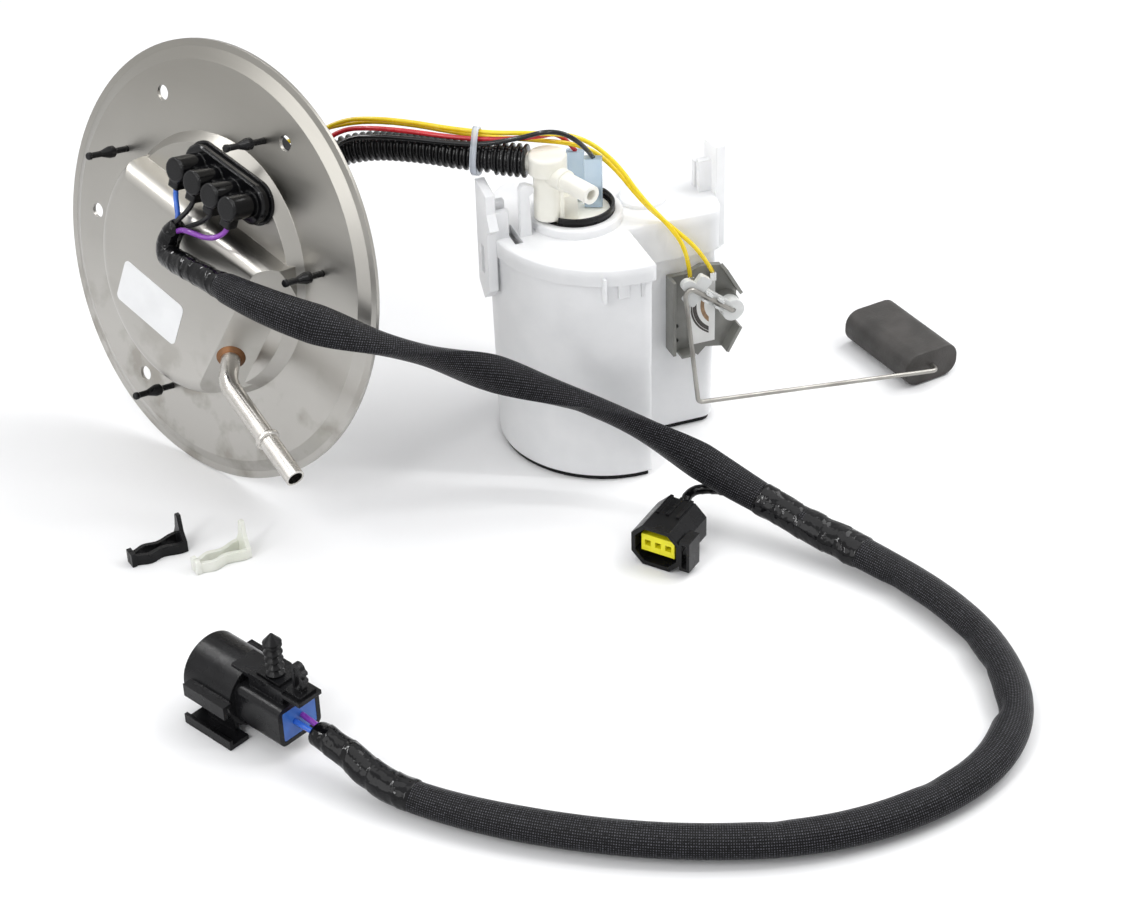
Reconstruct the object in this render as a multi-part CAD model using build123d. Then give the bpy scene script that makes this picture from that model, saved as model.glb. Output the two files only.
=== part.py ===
from build123d import *
import math
import os

# Fuel pump module laid out on a bench, millimetres, +Z up.
# Origin: middle of the reservoir's underside. +X runs towards the float, the level sender faces -Y.
os.makedirs("parts", exist_ok=True)

# Gaps and fits
seat_gap = 0.05
clear = 0.3
running_fit = 0.05

# Reservoir tub
tub_foot_r = 46.0
tub_top_r = 47.5
tub_wall = 2.0
foot_height = 2.4
tub_top_z = 100.0
notch_x = 3.0
notch_y = -17.0
notch_corner_r = 6.0
foot_inset = 1.0

# Reservoir lid, its collar and guide rails
lid_thick = 4.0
lid_overhang = 1.4
lid_rim_drop = 4.0
lid_skirt_drop = 15.0
skirt_from_notch = 6.0
skirt_end_y = 40.0
collar_wall = 3.2
collar_height = 4.0
lid_boss_r = 10.0
lid_boss_height = 2.0
lid_boss_x = 19.0
lid_boss_y = 3.0
window_width = 16.0
window_height = 11.0
window_x = -9.0
window_rib = 1.2
rail_thick = 4.0
rail_width = 13.0
rail_bottom_z = 74.0
rail_top_z = 126.3
rail_step_z = 110.0
rail_step_wide = 4.0
rail_slot_width = 3.4
rail_slot_length = 13.0
rail_point = 6.0
post_x = -36.0
post_y = -7.0
post_height = 23.0
post_hook = 2.2

# Pump
pump_x = -12.0
pump_y = -1.0
pump_r = 19.0
pump_wall = 1.5
pump_bottom_z = 24.0
pump_shoulder_z = 96.0
pump_neck_r = 14.6
seal_ring_thick = 1.7
seal_ring_height = 5.0
magnet_thick = 3.4
magnet_angle = 120.0
armature_r = 12.6
armature_z = 42.0
armature_height = 34.0
shaft_r = 1.6
impeller_r = 16.0
impeller_height = 4.0
impeller_blades = 24
inlet_tube_r = 5.0
inlet_offset = 9.0
strainer_neck = 9.0

# Pump top cap
cap_base_height = 3.0
column_x = -25.0
column_y = -5.0
column_r = 6.0
column_bore_r = 3.6
cap_head_r = 8.0
cap_head_height = 8.0
cap_top_z = 138.0
nozzle_z = 129.5
nozzle_r = 3.9
nozzle_bore_r = 2.2
nozzle_length = 27.0
nozzle_root_r = 4.6
nozzle_root_length = 11.5
nozzle_heading = -70.0
port_heading = 146.0
port_r = 3.9
port_length = 11.5
valve_seat_z = 117.0
poppet_r = 3.2
poppet_height = 5.0
spring_wire_r = 0.3
spring_height = 12.6

# Power terminals beside the cap
sleeve_wide = 7.5
sleeve_deep = 3.6
sleeve_height = 22.0
sleeve_base_z = 108.6
sleeve_places = ((-4.5, -2.5), (-9.0, 6.0))

# Level sender on the notch wall
bracket_left = 21.5
bracket_right = 52.5
bracket_bottom_z = 40.0
bracket_top_z = 77.5
bracket_thick = 2.6
guard_depth = 5.6
guard_thick = 1.4
hub_x = 47.0
hub_z = 61.2
journal_r = 3.0
hub_boss_r = 5.2
hub_boss_length = 3.6
rotor_hub_r = 4.8
rotor_hub_length = 5.8
rotor_arm_width = 5.2
rotor_arm_thick = 3.0
rotor_reach_x = -20.4
rotor_reach_z = 16.1
paddle_from_hub = 20.5
paddle_wide = 6.0
paddle_long = 14.0
card_x = 36.6
card_z = 57.7
card_width = 11.5
card_height = 29.4
card_thick = 1.0
track_thick = 0.12
track_radii = (15.5, 14.0, 10.5)
track_widths = (0.8, 1.7, 1.7)
terminal_places = (30.7, 40.7)
terminal_top_z = 77.0
terminal_height = 4.0
rod_r = 1.0
rod_end_x = 145.8
rod_end_z = 8.2
rod_knee_x = 31.0
rod_knee_z = 19.9
rod_bend_r = 2.5
rod_overhang = 1.12

# Float
float_length = 46.6
float_width = 28.0
float_thick = 15.8
float_edge_r = 7.0
float_yaw = 9.7
float_face_gap = 4.6
float_bore_depth = 38.0

# Cover flange: a stamped plate standing on its rim and leaning back
flange_r = 92.0
rim_land = 3.0
bevel_width = 5.0
flange_t = 1.5
flange_x = -153.6
flange_y = 44.0
flange_turn = -61.4
flange_lean = 13.0
annulus_z = 2.5
dome_r = 51.0
dome_foot_r = 55.0
dome_low_z = 8.0
dome_high_z = 20.0
plateau_r = 53.5
plateau_draft = 6.0
plateau_fillet = 6.5
chord_x = -11.0
chord_y = 30.5
chord_tilt = -12.6
groove_r = 5.0
groove_angle = -20.0
bolt_circle_r = 72.5
bolt_hole_r = 3.2
bolt_count = 6
tail_angles = (150.0, 68.0, 15.0, 253.0)
tail_neck_r = 1.3
tail_neck_length = 6.0
tail_bulb_r = 2.5
tail_bulb_length = 8.0
tail_rod_length = 5.0
tail_tip_r = 1.6
tail_tip_length = 2.0
seal_outer_r = 68.6
seal_width = 10.6
tail_from_edge = 3.6
tail_circle_r = seal_outer_r - tail_from_edge
seal_depth = 5.0
label_length = 38.1
label_width = 19.05
label_thick = 0.15
label_x = -17.0
label_y = -19.5
label_tilt = -14.0

# Bulkhead connector on the low part of the dome
plug_x = 14.0
plug_y = 40.5
plug_tilt = -12.0
plug_width = 17.0
plug_end_margin = 3.0
plug_base_thick = 4.0
plug_core_width = 9.0
barrel_count = 4
barrel_pitch = 10.6
barrel_r = 5.2
barrel_height = 12.5
barrel_edge_r = 1.0
outlet_width = 5.4
outlet_drop = 3.0
outlet_depth = 5.5
outlet_setback = 1.0
pin_width = 2.8
pin_thick = 0.8
pin_length = 17.0
gasket_thick = 1.2
gasket_margin = 1.0

# Outlet tube through the sloped facet of the dome
tube_r = 3.97
tube_bore_r = 3.1
facet_x = 28.0
facet_y = -29.0
facet_z = 15.0
facet_dir = (0.66, -0.30, 0.685)
tube_first_leg = 16.5
tube_bend_r = 14.0
tube_inner_knee = 30.0
tube_mouth = (-151.0, -55.0, 44.5)
tube_inner_end = (14.0, 18.0, -22.0)
bead_from_mouth = 22.0
bead_r = 5.1
bead_length = 2.6
braze_wide = 2.0
braze_height = 1.6

# Hose from the flange to the pump cap, and its cuff and tie
hose_r = 6.1
cuff_r = 7.2
cuff_length = 12.0
tie_width = 4.5
tie_thick = 1.3

# Wires and loom
wire_r = 1.0
pigtail_r = 1.1
trunk_r = 6.4
branch_r = 1.9

# Three-way connector lying by the loom
three_x = -20.0
three_y = -107.5
three_heading = -140.0
three_width = 22.0
three_height = 19.0
three_length = 23.0
three_wall = 1.8
three_corner = 5.0
three_depth = 14.0
three_insert_width = 15.0
three_insert_height = 8.0
three_cavity = 2.6
three_pitch = 4.6
three_latch_width = 14.0
three_latch_height = 4.0
three_latch_length = 9.0

# Round chassis connector at the far end of the loom
round_x = -192.5
round_y = -139.1
round_heading = 118.0
round_axis_z = 15.5
shroud_r = 13.5
shroud_wall = 1.8
shroud_length = 23.0
round_body_wide = 20.0
round_body_high = 17.0
round_body_length = 25.0
round_body_wall = 2.0
side_rail_length = 22.0
side_rail_height = 5.6
foot_rail_length = 25.0
foot_rail_wide = 9.0
carrier_length = 36.0
carrier_wide = 11.0
carrier_thick = 1.8
carrier_z = 29.0
carrier_wall_length = 18.0
fir_from_middle = -14.0
fir_r = 2.0
fir_height = 17.0
fir_fins = 5
fir_fin_r = 3.6
loop_from_middle = -27.0
loop_height = 13.0
loop_wide = 5.0
loop_thick = 2.4

# Loose retainer clips for quick connections
clip_length = 23.0
clip_width = 9.5
clip_thick = 4.6
clip_arm = 1.8
clip_tab_height = 16.0
clip_tab_thick = 1.8
black_clip_place = (-204.0, -23.0, 12.0)
natural_clip_place = (-181.0, -37.5, 14.0)

# Solids stand on their base at the given height
upward = (Align.CENTER, Align.CENTER, Align.MIN)


def box_at(x0, x1, y0, y1, z0, z1):
    """A box given by its lowest and highest corners."""
    return Pos((x0 + x1) / 2, (y0 + y1) / 2, (z0 + z1) / 2) * Box(x1 - x0, y1 - y0, z1 - z0)


def rod_between(a, b, radius):
    """A round bar from point a to point b."""
    start, end = Vector(*a), Vector(*b)
    along = end - start
    return Plane(start, z_dir=along) * Pos(0, 0, along.length / 2) * Cylinder(radius, along.length)


def corner_radii(points, largest=1e9):
    """Arc radii for a cord: 0.45 of the shorter run over the tangent of half the turn."""
    radii = []
    for before, here, after in zip(points, points[1:], points[2:]):
        run_in = Vector(*here) - Vector(*before)
        run_out = Vector(*after) - Vector(*here)
        half_turn = math.radians(run_in.get_angle(run_out)) / 2
        shorter = min(run_in.length, run_out.length)
        radii.append(min(largest, 0.45 * shorter / math.tan(half_turn)))
    return radii


def cord(name, points, radius):
    """A plain cord: straight runs joined by the largest tangent arcs the runs allow."""
    radii = corner_radii(points)
    path = FilletPolyline(*points, radius=radii)
    solid = sweep(Plane(path @ 0, z_dir=path % 0) * Circle(radius), path=path)
    share = solid.volume / (math.pi * radius ** 2 * path.length)
    turns = " ".join(f"{r / (2 * radius):.1f}" for r in radii)
    print(f"{name}: length {path.length:.1f}, volume share {share:.4f}, radii in diameters {turns}")
    return solid


def bent_tube(points, outer, bore, bend):
    """A rigid tube with equal bends, drilled through when a bore is given."""
    path = FilletPolyline(*points, radius=bend)
    section = Circle(outer) - Circle(bore) if bore else Circle(outer)
    return sweep(Plane(path @ 0, z_dir=path % 0) * section, path=path)


def save(name, shape):
    export_step(shape, f"parts/{name}.step")


# The flange's own frame: its face normal is local Z, local Y points up the leaning plate.
lean = math.radians(flange_lean)
flange_z = flange_r * math.cos(lean) + flange_t * math.sin(lean)
turn = math.radians(flange_turn)
flange_side = Vector(math.cos(turn), math.sin(turn), 0)
flange_face = Vector(math.sin(turn) * math.cos(lean), -math.cos(turn) * math.cos(lean), math.sin(lean))
flange_plane = Plane(origin=(flange_x, flange_y, flange_z), x_dir=flange_side, z_dir=flange_face)


def on_flange(x, y, z):
    """World point of a place given in the flange's own frame."""
    p = flange_plane.from_local_coords(Vector(x, y, z))
    return (p.X, p.Y, p.Z)


# Flange
def plateau(inset):
    """High part of the dome, cut off by a sloping chord and a tilted facet for the outlet tube."""
    top = dome_high_z - inset
    disc = Circle(plateau_r - inset)
    reach = 4 * flange_r
    keep = Pos(0, -inset - reach / 2) * Rectangle(reach, reach)
    keep = Pos(chord_x, chord_y) * Rot(0, 0, chord_tilt) * keep
    body = extrude(disc & keep, top, taper=plateau_draft)
    body = fillet(body.edges().group_by(Axis.Z)[-1], plateau_fillet - inset)
    facet_point = Vector(facet_x, facet_y, facet_z) - Vector(*facet_dir).normalized() * inset
    beyond = Plane(facet_point, z_dir=Vector(*facet_dir)) * Pos(0, 0, reach / 2) * Box(reach, reach, reach)
    angle = math.radians(groove_angle)
    groove = Cylinder(groove_r + inset, reach)
    groove = Pos(plateau_r * math.cos(angle), plateau_r * math.sin(angle), 0) * groove
    return body - beyond - groove


def flange_form(inset):
    """The stamping's outer face as a solid, lowered and shrunk by inset for its inner face."""
    rim = flange_r + (inset and 5)
    bevel_outer_r = flange_r - rim_land
    bevel_inner_r = bevel_outer_r - bevel_width
    outline = Polyline(
        (0, dome_low_z - inset),
        (dome_r - inset, dome_low_z - inset),
        (dome_foot_r - inset, annulus_z - inset),
        (bevel_inner_r - inset, annulus_z - inset),
        (bevel_outer_r - inset, -inset),
        (rim, -inset),
        (rim, -12),
        (0, -12),
        close=True,
    )
    form = revolve(Plane.XZ * make_face(outline), Axis.Z)
    return form + plateau(inset)


def bolt_places():
    return [Rot(0, 0, 360 / bolt_count * i) * Pos(bolt_circle_r, 0, 0) for i in range(bolt_count)]


def make_flange():
    plate = flange_form(0) - flange_form(flange_t)
    plate = plate & Pos(0, 0, 20) * Cylinder(flange_r + 1, 2 * (20 + flange_t))
    for place in bolt_places():
        plate = plate - place * Cylinder(bolt_hole_r, 20)
    for angle in tail_angles:
        plate = plate - Rot(0, 0, angle) * Pos(tail_circle_r, 0, 0) * Cylinder(tail_neck_r + seat_gap, 20)
    slot = Pos(plug_x, plug_y, dome_low_z) * Rot(0, 0, plug_tilt)
    plate = plate - slot * extrude(SlotOverall(core_length, plug_core_width), 8, both=True)
    direction = Vector(*facet_dir).normalized()
    middle = Vector(facet_x, facet_y, facet_z) - direction * 4
    return plate - Plane(middle, z_dir=direction) * Cylinder(tube_r + seat_gap, 14)


def make_flange_seal():
    """Rubber ring behind the flange, with four pull-through tails."""
    back = annulus_z - flange_t
    ring = Cylinder(seal_outer_r, seal_depth, align=upward)
    ring = ring - Cylinder(seal_outer_r - seal_width, seal_depth * 3)
    ring = Pos(0, 0, back - seal_depth) * ring
    shoulder = annulus_z + tail_neck_length
    bulb_end = shoulder + tail_bulb_length
    rod_end = bulb_end + tail_rod_length
    tip = rod_end + tail_tip_length
    outline = Polyline(
        (0, back - seal_depth / 2),
        (tail_neck_r, back - seal_depth / 2),
        (tail_neck_r, shoulder),
        (tail_bulb_r, shoulder + 0.2 * tail_bulb_length),
        (tail_bulb_r, shoulder + 0.45 * tail_bulb_length),
        (tail_neck_r, bulb_end),
        (tail_neck_r, rod_end),
        (tail_tip_r, rod_end + 0.2 * tail_tip_length),
        (tail_tip_r, tip - 0.2 * tail_tip_length),
        (tail_neck_r, tip),
        (0, tip),
        close=True,
    )
    tail = revolve(Plane.XZ * make_face(outline), Axis.Z)
    for angle in tail_angles:
        ring = ring + Rot(0, 0, angle) * Pos(tail_circle_r, 0, 0) * tail
    return ring


def make_label():
    face = RectangleRounded(label_length, label_width, 2.5)
    return Pos(label_x, label_y, dome_high_z) * Rot(0, 0, label_tilt) * extrude(face, label_thick)


plug_place = Pos(plug_x, plug_y, dome_low_z) * Rot(0, 0, plug_tilt)
barrel_places = [(i - (barrel_count - 1) / 2) * barrel_pitch for i in range(barrel_count)]
core_length = barrel_count * barrel_pitch
plug_length = core_length + 2 * plug_end_margin
barrel_low_z = gasket_thick + plug_base_thick
barrel_top_z = barrel_low_z + barrel_height
outlet_z = barrel_top_z - outlet_setback - outlet_depth / 2


def make_gasket():
    outer = SlotOverall(plug_length + 2 * gasket_margin, plug_width + 2 * gasket_margin)
    inner = SlotOverall(core_length, plug_core_width)
    return plug_place * extrude(outer - inner, gasket_thick)


def make_bulkhead():
    """Oblong connector: four barrels stand on its base, each with a hooded wire outlet at its lower side."""
    base = Pos(0, 0, gasket_thick) * extrude(SlotOverall(plug_length, plug_width), plug_base_thick)
    base = chamfer(base.edges().group_by(Axis.Z)[-1], 0.8)
    core = SlotOverall(core_length - 2 * clear, plug_core_width - 2 * clear)
    body = base + Pos(0, 0, gasket_thick - 6) * extrude(core, 6 + plug_base_thick)
    web = Box(core_length - 2 * barrel_r, barrel_r, barrel_height / 2, align=upward)
    body = body + Pos(0, 0, barrel_low_z - 0.5) * web
    for x in barrel_places:
        barrel = Cylinder(barrel_r, barrel_height + 0.5, align=upward)
        barrel = fillet(barrel.edges().group_by(Axis.Z)[-1], barrel_edge_r)
        body = body + Pos(x, 0, barrel_low_z - 0.5) * barrel
        hood = Box(outlet_width, outlet_drop + 2, outlet_depth)
        hood = fillet(hood.edges().filter_by(Axis.Y), 0.8)
        body = body + Pos(x, -barrel_r - (outlet_drop - 2) / 2, outlet_z) * hood
        body = body - Pos(x, 0, gasket_thick - 6) * Box(pin_width + 0.1, pin_thick + 0.1, 6)
    return plug_place * body


def make_bulkhead_pins():
    places = [Pos(x, 0, gasket_thick - 3 - pin_length / 2) for x in barrel_places]
    return plug_place * Compound(children=[place * Box(pin_width, pin_thick, pin_length) for place in places])


def outlet_point(index):
    """Middle of a barrel's wire outlet, in the flange's frame."""
    p = (plug_place * Pos(barrel_places[index], -barrel_r - outlet_drop, outlet_z)).position
    return (p.X, p.Y, p.Z)


# Outlet tube, in world coordinates
facet_unit = Vector(*facet_dir).normalized()
facet_origin = Vector(facet_x, facet_y, facet_z)
tube_bend_local = facet_origin + facet_unit * tube_first_leg
tube_knee_local = facet_origin - facet_unit * tube_inner_knee
tube_bend = on_flange(*tuple(tube_bend_local))
tube_knee = on_flange(*tuple(tube_knee_local))
tube_inner = on_flange(*tube_inner_end)


def make_outlet_tube():
    """Steel tube with a bead for a quick connector outside and a hose end inside."""
    tube = bent_tube([tube_inner, tube_knee, tube_bend, tube_mouth], tube_r, tube_bore_r, tube_bend_r)
    mouth = Vector(*tube_mouth)
    back = (Vector(*tube_bend) - mouth).normalized()
    bead_profile = Plane(mouth + back * bead_from_mouth, z_dir=back)
    bead = Cylinder(bead_r, bead_length) - Cylinder(tube_bore_r + 0.3, bead_length * 2)
    bead = fillet(bead.edges().filter_by(GeomType.CIRCLE).group_by(SortBy.RADIUS)[-1], 1.0)
    return tube + bead_profile * bead


def make_braze_ring():
    outline = Polyline(
        (tube_r + 0.02, 0),
        (tube_r + braze_wide, 0),
        (tube_r + 0.02, braze_height),
        close=True,
    )
    ring = revolve(Plane.XZ * make_face(outline), Axis.Z)
    return flange_plane.location * (Plane(facet_origin, z_dir=facet_unit).location * ring)


# Reservoir
def tub_form(inset, low, high):
    """Round tub with a corner cut away for the level sender, shrunk by inset."""
    slope = (tub_top_r - tub_foot_r) / (tub_top_z - foot_height)
    r_low = tub_foot_r + slope * (low - foot_height) - inset
    r_high = tub_foot_r + slope * (high - foot_height) - inset
    height = high - low
    cone = Pos(0, 0, low) * Cone(r_low, r_high, height, align=upward)
    reach = 2 * tub_top_r
    keep = Rectangle(4 * reach, 4 * reach)
    cut = Pos(notch_x - inset + reach / 2, notch_y + inset - reach / 2) * Rectangle(reach, reach)
    body = cone & Pos(0, 0, low) * extrude(keep - cut, height)
    upright = [e for e in body.edges() if e.bounding_box().size.Z > 0.9 * height]
    corner = max(upright, key=lambda e: e.center().X)
    return fillet(corner, max(notch_corner_r - inset, 1.0))


def make_tub():
    outer = tub_form(0, foot_height, tub_top_z)
    inner = tub_form(tub_wall, foot_height + tub_wall, tub_top_z)
    floor_hole = Pos(pump_x, pump_y, 0) * Cylinder(inlet_tube_r + clear, 30)
    return outer - inner - floor_hole


def make_foot():
    """Dark base moulding under the tub, with the inlet openings of the fill valve."""
    base = tub_form(foot_inset, 0, foot_height)
    for i in range(6):
        base = base - Pos(18, 12, 0) * Rot(0, 0, 60 * i) * Pos(5, 0, 0) * Cylinder(1.6, 20)
    return base - Pos(18, 12, 0) * Cylinder(1.2 + seat_gap, 20)


def make_fill_valve():
    """Umbrella valve over the inlet openings, inside the tub."""
    tub_floor = foot_height + tub_wall
    disc = Pos(18, 12, tub_floor) * Cone(8.0, 6.0, 1.6, align=upward)
    return disc


def make_lid():
    """Lid with a rim, a deeper skirt over the notch, a pump collar and two guide rails."""
    over = lid_overhang
    top = tub_top_z + lid_thick
    lid = tub_form(-over, tub_top_z, top)
    lid = fillet(lid.edges().group_by(Axis.Z)[-1], 1.2)
    rim = tub_form(-over, tub_top_z - lid_rim_drop, tub_top_z)
    rim = rim - tub_form(-seat_gap, tub_top_z - 40, tub_top_z + 1)
    skirt = tub_form(-over, tub_top_z - lid_skirt_drop, tub_top_z)
    skirt = skirt - tub_form(-seat_gap, tub_top_z - 40, tub_top_z + 1)
    skirt = skirt & box_at(notch_x + skirt_from_notch, 2 * tub_top_r, notch_y - over - 1, skirt_end_y, 0, top)
    lid = lid + rim + skirt
    collar_r = pump_neck_r + seal_ring_thick + collar_wall
    collar = Pos(pump_x, pump_y, top) * Cylinder(collar_r, collar_height, align=upward)
    lid = lid + fillet(collar.edges().group_by(Axis.Z)[-1], 1.0)
    lid = lid - Pos(pump_x, pump_y, top) * Cylinder(pump_neck_r + seal_ring_thick, 60)
    boss = Cylinder(lid_boss_r, lid_boss_height, align=upward)
    lid = lid + Pos(lid_boss_x, lid_boss_y, top) * fillet(boss.edges().group_by(Axis.Z)[-1], 0.9)
    front = -math.sqrt((tub_top_r + over) ** 2 - window_x ** 2)
    for side in (-1, 1):
        edge = window_x + side * window_width / 2
        rib = box_at(edge - window_rib / 2, edge + window_rib / 2, front + 0.2, front + 3.4,
                     tub_top_z - window_height, tub_top_z)
        lid = lid + (rib - tub_form(-seat_gap, tub_top_z - 40, tub_top_z + 1))
    latch = box_at(window_x - 2.2, window_x + 2.2, front + 0.4, front + 2.4, tub_top_z - window_height + 1,
                   tub_top_z - window_height + 5)
    lid = lid + ((latch + Pos(0, 0, 3) * latch) - tub_form(-seat_gap, tub_top_z - 40, tub_top_z + 1))
    for side in (-1, 1):
        lid = lid + make_rail(side)
    lid = lid + make_post(top)
    return lid - make_recess()


def make_post(floor):
    """Short post beside the pump, with a hooked top that leans towards the cap."""
    top = floor + post_height
    outline = Polyline(
        (-2.6, floor - 0.5),
        (2.4, floor - 0.5),
        (1.6, top - 5),
        (1.6 + post_hook, top - 3.5),
        (1.6 + post_hook, top - 1.5),
        (1.0, top),
        (-1.2, top),
        (-2.2, top - 1.5),
        close=True,
    )
    face = Plane(origin=(post_x, post_y, 0), x_dir=(1, 0, 0), z_dir=(0, -1, 0)) * make_face(outline)
    return extrude(face, 1.5, both=True)


def make_recess():
    """Opening in the lid behind the short post."""
    high = tub_top_z + lid_thick + 1
    return box_at(post_x - 6.5, post_x - 3.0, post_y - 6, post_y + 10, tub_top_z - 1, high)


def make_rail(side):
    """Guide rail: a slotted tangent plate with a pointed foot, and a web that ties it to the lid."""
    inner = tub_top_r + lid_overhang - 0.6
    outer = inner + rail_thick
    half = rail_width / 2
    outline = Polyline(
        (-half, rail_bottom_z + rail_point),
        (0, rail_bottom_z),
        (half, rail_bottom_z + rail_point),
        (half, rail_step_z - 3),
        (half + rail_step_wide, rail_step_z),
        (half, rail_step_z + 6),
        (half, rail_top_z - 2),
        (-half, rail_top_z),
        close=True,
    )
    plate = Pos(inner, 0, 0) * extrude(Plane.YZ * make_face(outline), rail_thick)
    slot_z = rail_bottom_z + rail_point + 6
    half_slot = rail_slot_width / 2
    slot = box_at(inner - 1, outer + 1, -half_slot, half_slot, slot_z, slot_z + rail_slot_length)
    floor = tub_top_z + lid_thick
    web = box_at(inner - 5.5, inner + 1, -1.5, 1.5, floor, rail_top_z - 8)
    web = web + box_at(inner - 5.5, inner + 1, half - 3, half, floor, floor + 12)
    rail = plate - slot + web
    return rail if side > 0 else Rot(0, 0, 180) * rail


# Pump
pump_place = Pos(pump_x, pump_y, 0)
lid_top_z = tub_top_z + lid_thick
neck_top_z = lid_top_z + 1.0


def make_pump_can():
    """Pump housing with a narrower neck that stands in the lid's collar."""
    outline = Polyline(
        (shaft_r + 1.4, pump_bottom_z + 8),
        (pump_r, pump_bottom_z + 8),
        (pump_r, pump_shoulder_z - 4),
        (pump_neck_r, pump_shoulder_z),
        (pump_neck_r, neck_top_z),
        (column_bore_r, neck_top_z),
        (column_bore_r, neck_top_z - 3),
        (pump_neck_r - pump_wall, neck_top_z - 3),
        (pump_neck_r - pump_wall, pump_shoulder_z - 0.5),
        (pump_r - pump_wall, pump_shoulder_z - 4.5),
        (pump_r - pump_wall, pump_bottom_z + 10),
        (shaft_r + 1.4, pump_bottom_z + 10),
        close=True,
    )
    can = revolve(Plane.XZ * make_face(outline), Axis.Z)
    bearing = Cylinder(4.0, 6, align=upward) - Cylinder(shaft_r + running_fit, 40)
    can = can + Pos(0, 0, pump_bottom_z + 8) * bearing
    return pump_place * can


def make_inlet_cover():
    """Lower pump cover with the inlet stub and the impeller's pocket."""
    height = 8.0 - seat_gap
    cover = Pos(0, 0, pump_bottom_z) * Cylinder(pump_r, height, align=upward)
    pocket_z = pump_bottom_z + height - impeller_height - 2 * clear
    pocket = Pos(0, 0, pocket_z) * Cylinder(impeller_r + clear, 20, align=upward)
    stub_length = pump_bottom_z - foot_height - tub_wall - 6
    stub = Cylinder(inlet_tube_r, stub_length, align=upward)
    stub = Pos(inlet_offset, 0, pump_bottom_z - stub_length) * stub
    cover = cover - pocket + stub
    return pump_place * (cover - Pos(inlet_offset, 0, 0) * Cylinder(inlet_tube_r - 1.4, 4 * pump_bottom_z))


def make_strainer():
    """Oval mesh sock on the pump's inlet."""
    floor = foot_height + tub_wall
    body = extrude(SlotOverall(34, 20), pump_bottom_z - floor - 15)
    body = fillet(body.edges().filter_by(Plane.XY), 1.5)
    neck = Pos(inlet_offset, 0, 0) * (Cylinder(inlet_tube_r + 1.6, strainer_neck, align=upward))
    hole = Pos(inlet_offset, 0, 0) * Cylinder(inlet_tube_r + seat_gap, 4 * pump_bottom_z)
    return pump_place * (Pos(0, 0, floor + 0.2) * (body + neck - hole))


def make_magnets():
    """Two arc magnets inside the can."""
    outer = pump_r - pump_wall - seat_gap
    ring = Cylinder(outer, armature_height) - Cylinder(outer - magnet_thick, armature_height * 2)
    gap = (180 - magnet_angle) / 2
    side = 60 * math.tan(math.radians(gap))
    wedge = Polyline((0, 0), (60, side), (60, -side), close=True)
    cut = extrude(make_face(wedge), armature_height, both=True)
    arcs = ring - cut - Rot(0, 0, 180) * cut
    return pump_place * Pos(0, 0, armature_z + armature_height / 2) * arcs


def make_armature():
    """Wound armature with its shaft, commutator and slots."""
    low = pump_bottom_z + 8.0 - seat_gap - impeller_height - clear
    top = pump_shoulder_z - 2
    core = Pos(0, 0, armature_z) * Cylinder(armature_r, armature_height, align=upward)
    for i in range(8):
        core = core - Rot(0, 0, 45 * i) * Pos(armature_r, 0, armature_z) * Box(3, 1.6, armature_height * 3)
    commutator = Pos(0, 0, armature_z + armature_height) * Cylinder(6.0, 9, align=upward)
    shaft = Pos(0, 0, low) * Cylinder(shaft_r, top - low, align=upward)
    return pump_place * (core + commutator + shaft)


def make_impeller():
    """Turbine impeller with small vanes round its edge."""
    low = pump_bottom_z + 8.0 - seat_gap - impeller_height - clear
    disc = Cylinder(impeller_r, impeller_height) - Cylinder(shaft_r + 0.01, impeller_height * 2)
    for i in range(impeller_blades):
        notch = Pos(impeller_r, 0, 0) * Box(4, 1.4, impeller_height * 2)
        disc = disc - Rot(0, 0, 360 / impeller_blades * i) * notch
    return pump_place * Pos(0, 0, low + impeller_height / 2) * disc


def make_brushes():
    """Two carbon brushes on the commutator, in their guides under the neck."""
    z = armature_z + armature_height + 4.5
    blocks = [Rot(0, 0, 90 + 180 * i) * Pos(6.0 + running_fit + 3.0, 0, z) * Box(6, 4, 5) for i in range(2)]
    return pump_place * Compound(children=blocks)


def make_seal_ring():
    ring = Cylinder(pump_neck_r + seal_ring_thick - 0.02, seal_ring_height) - Cylinder(pump_neck_r + 0.02, 40)
    return pump_place * Pos(0, 0, lid_top_z + collar_height - seal_ring_height / 2 + 0.6) * ring


# Pump cap and check valve
cap_base_z = neck_top_z
column_top = cap_top_z - cap_head_height


def heading(angle):
    return Vector(math.cos(math.radians(angle)), math.sin(math.radians(angle)), 0)


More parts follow.
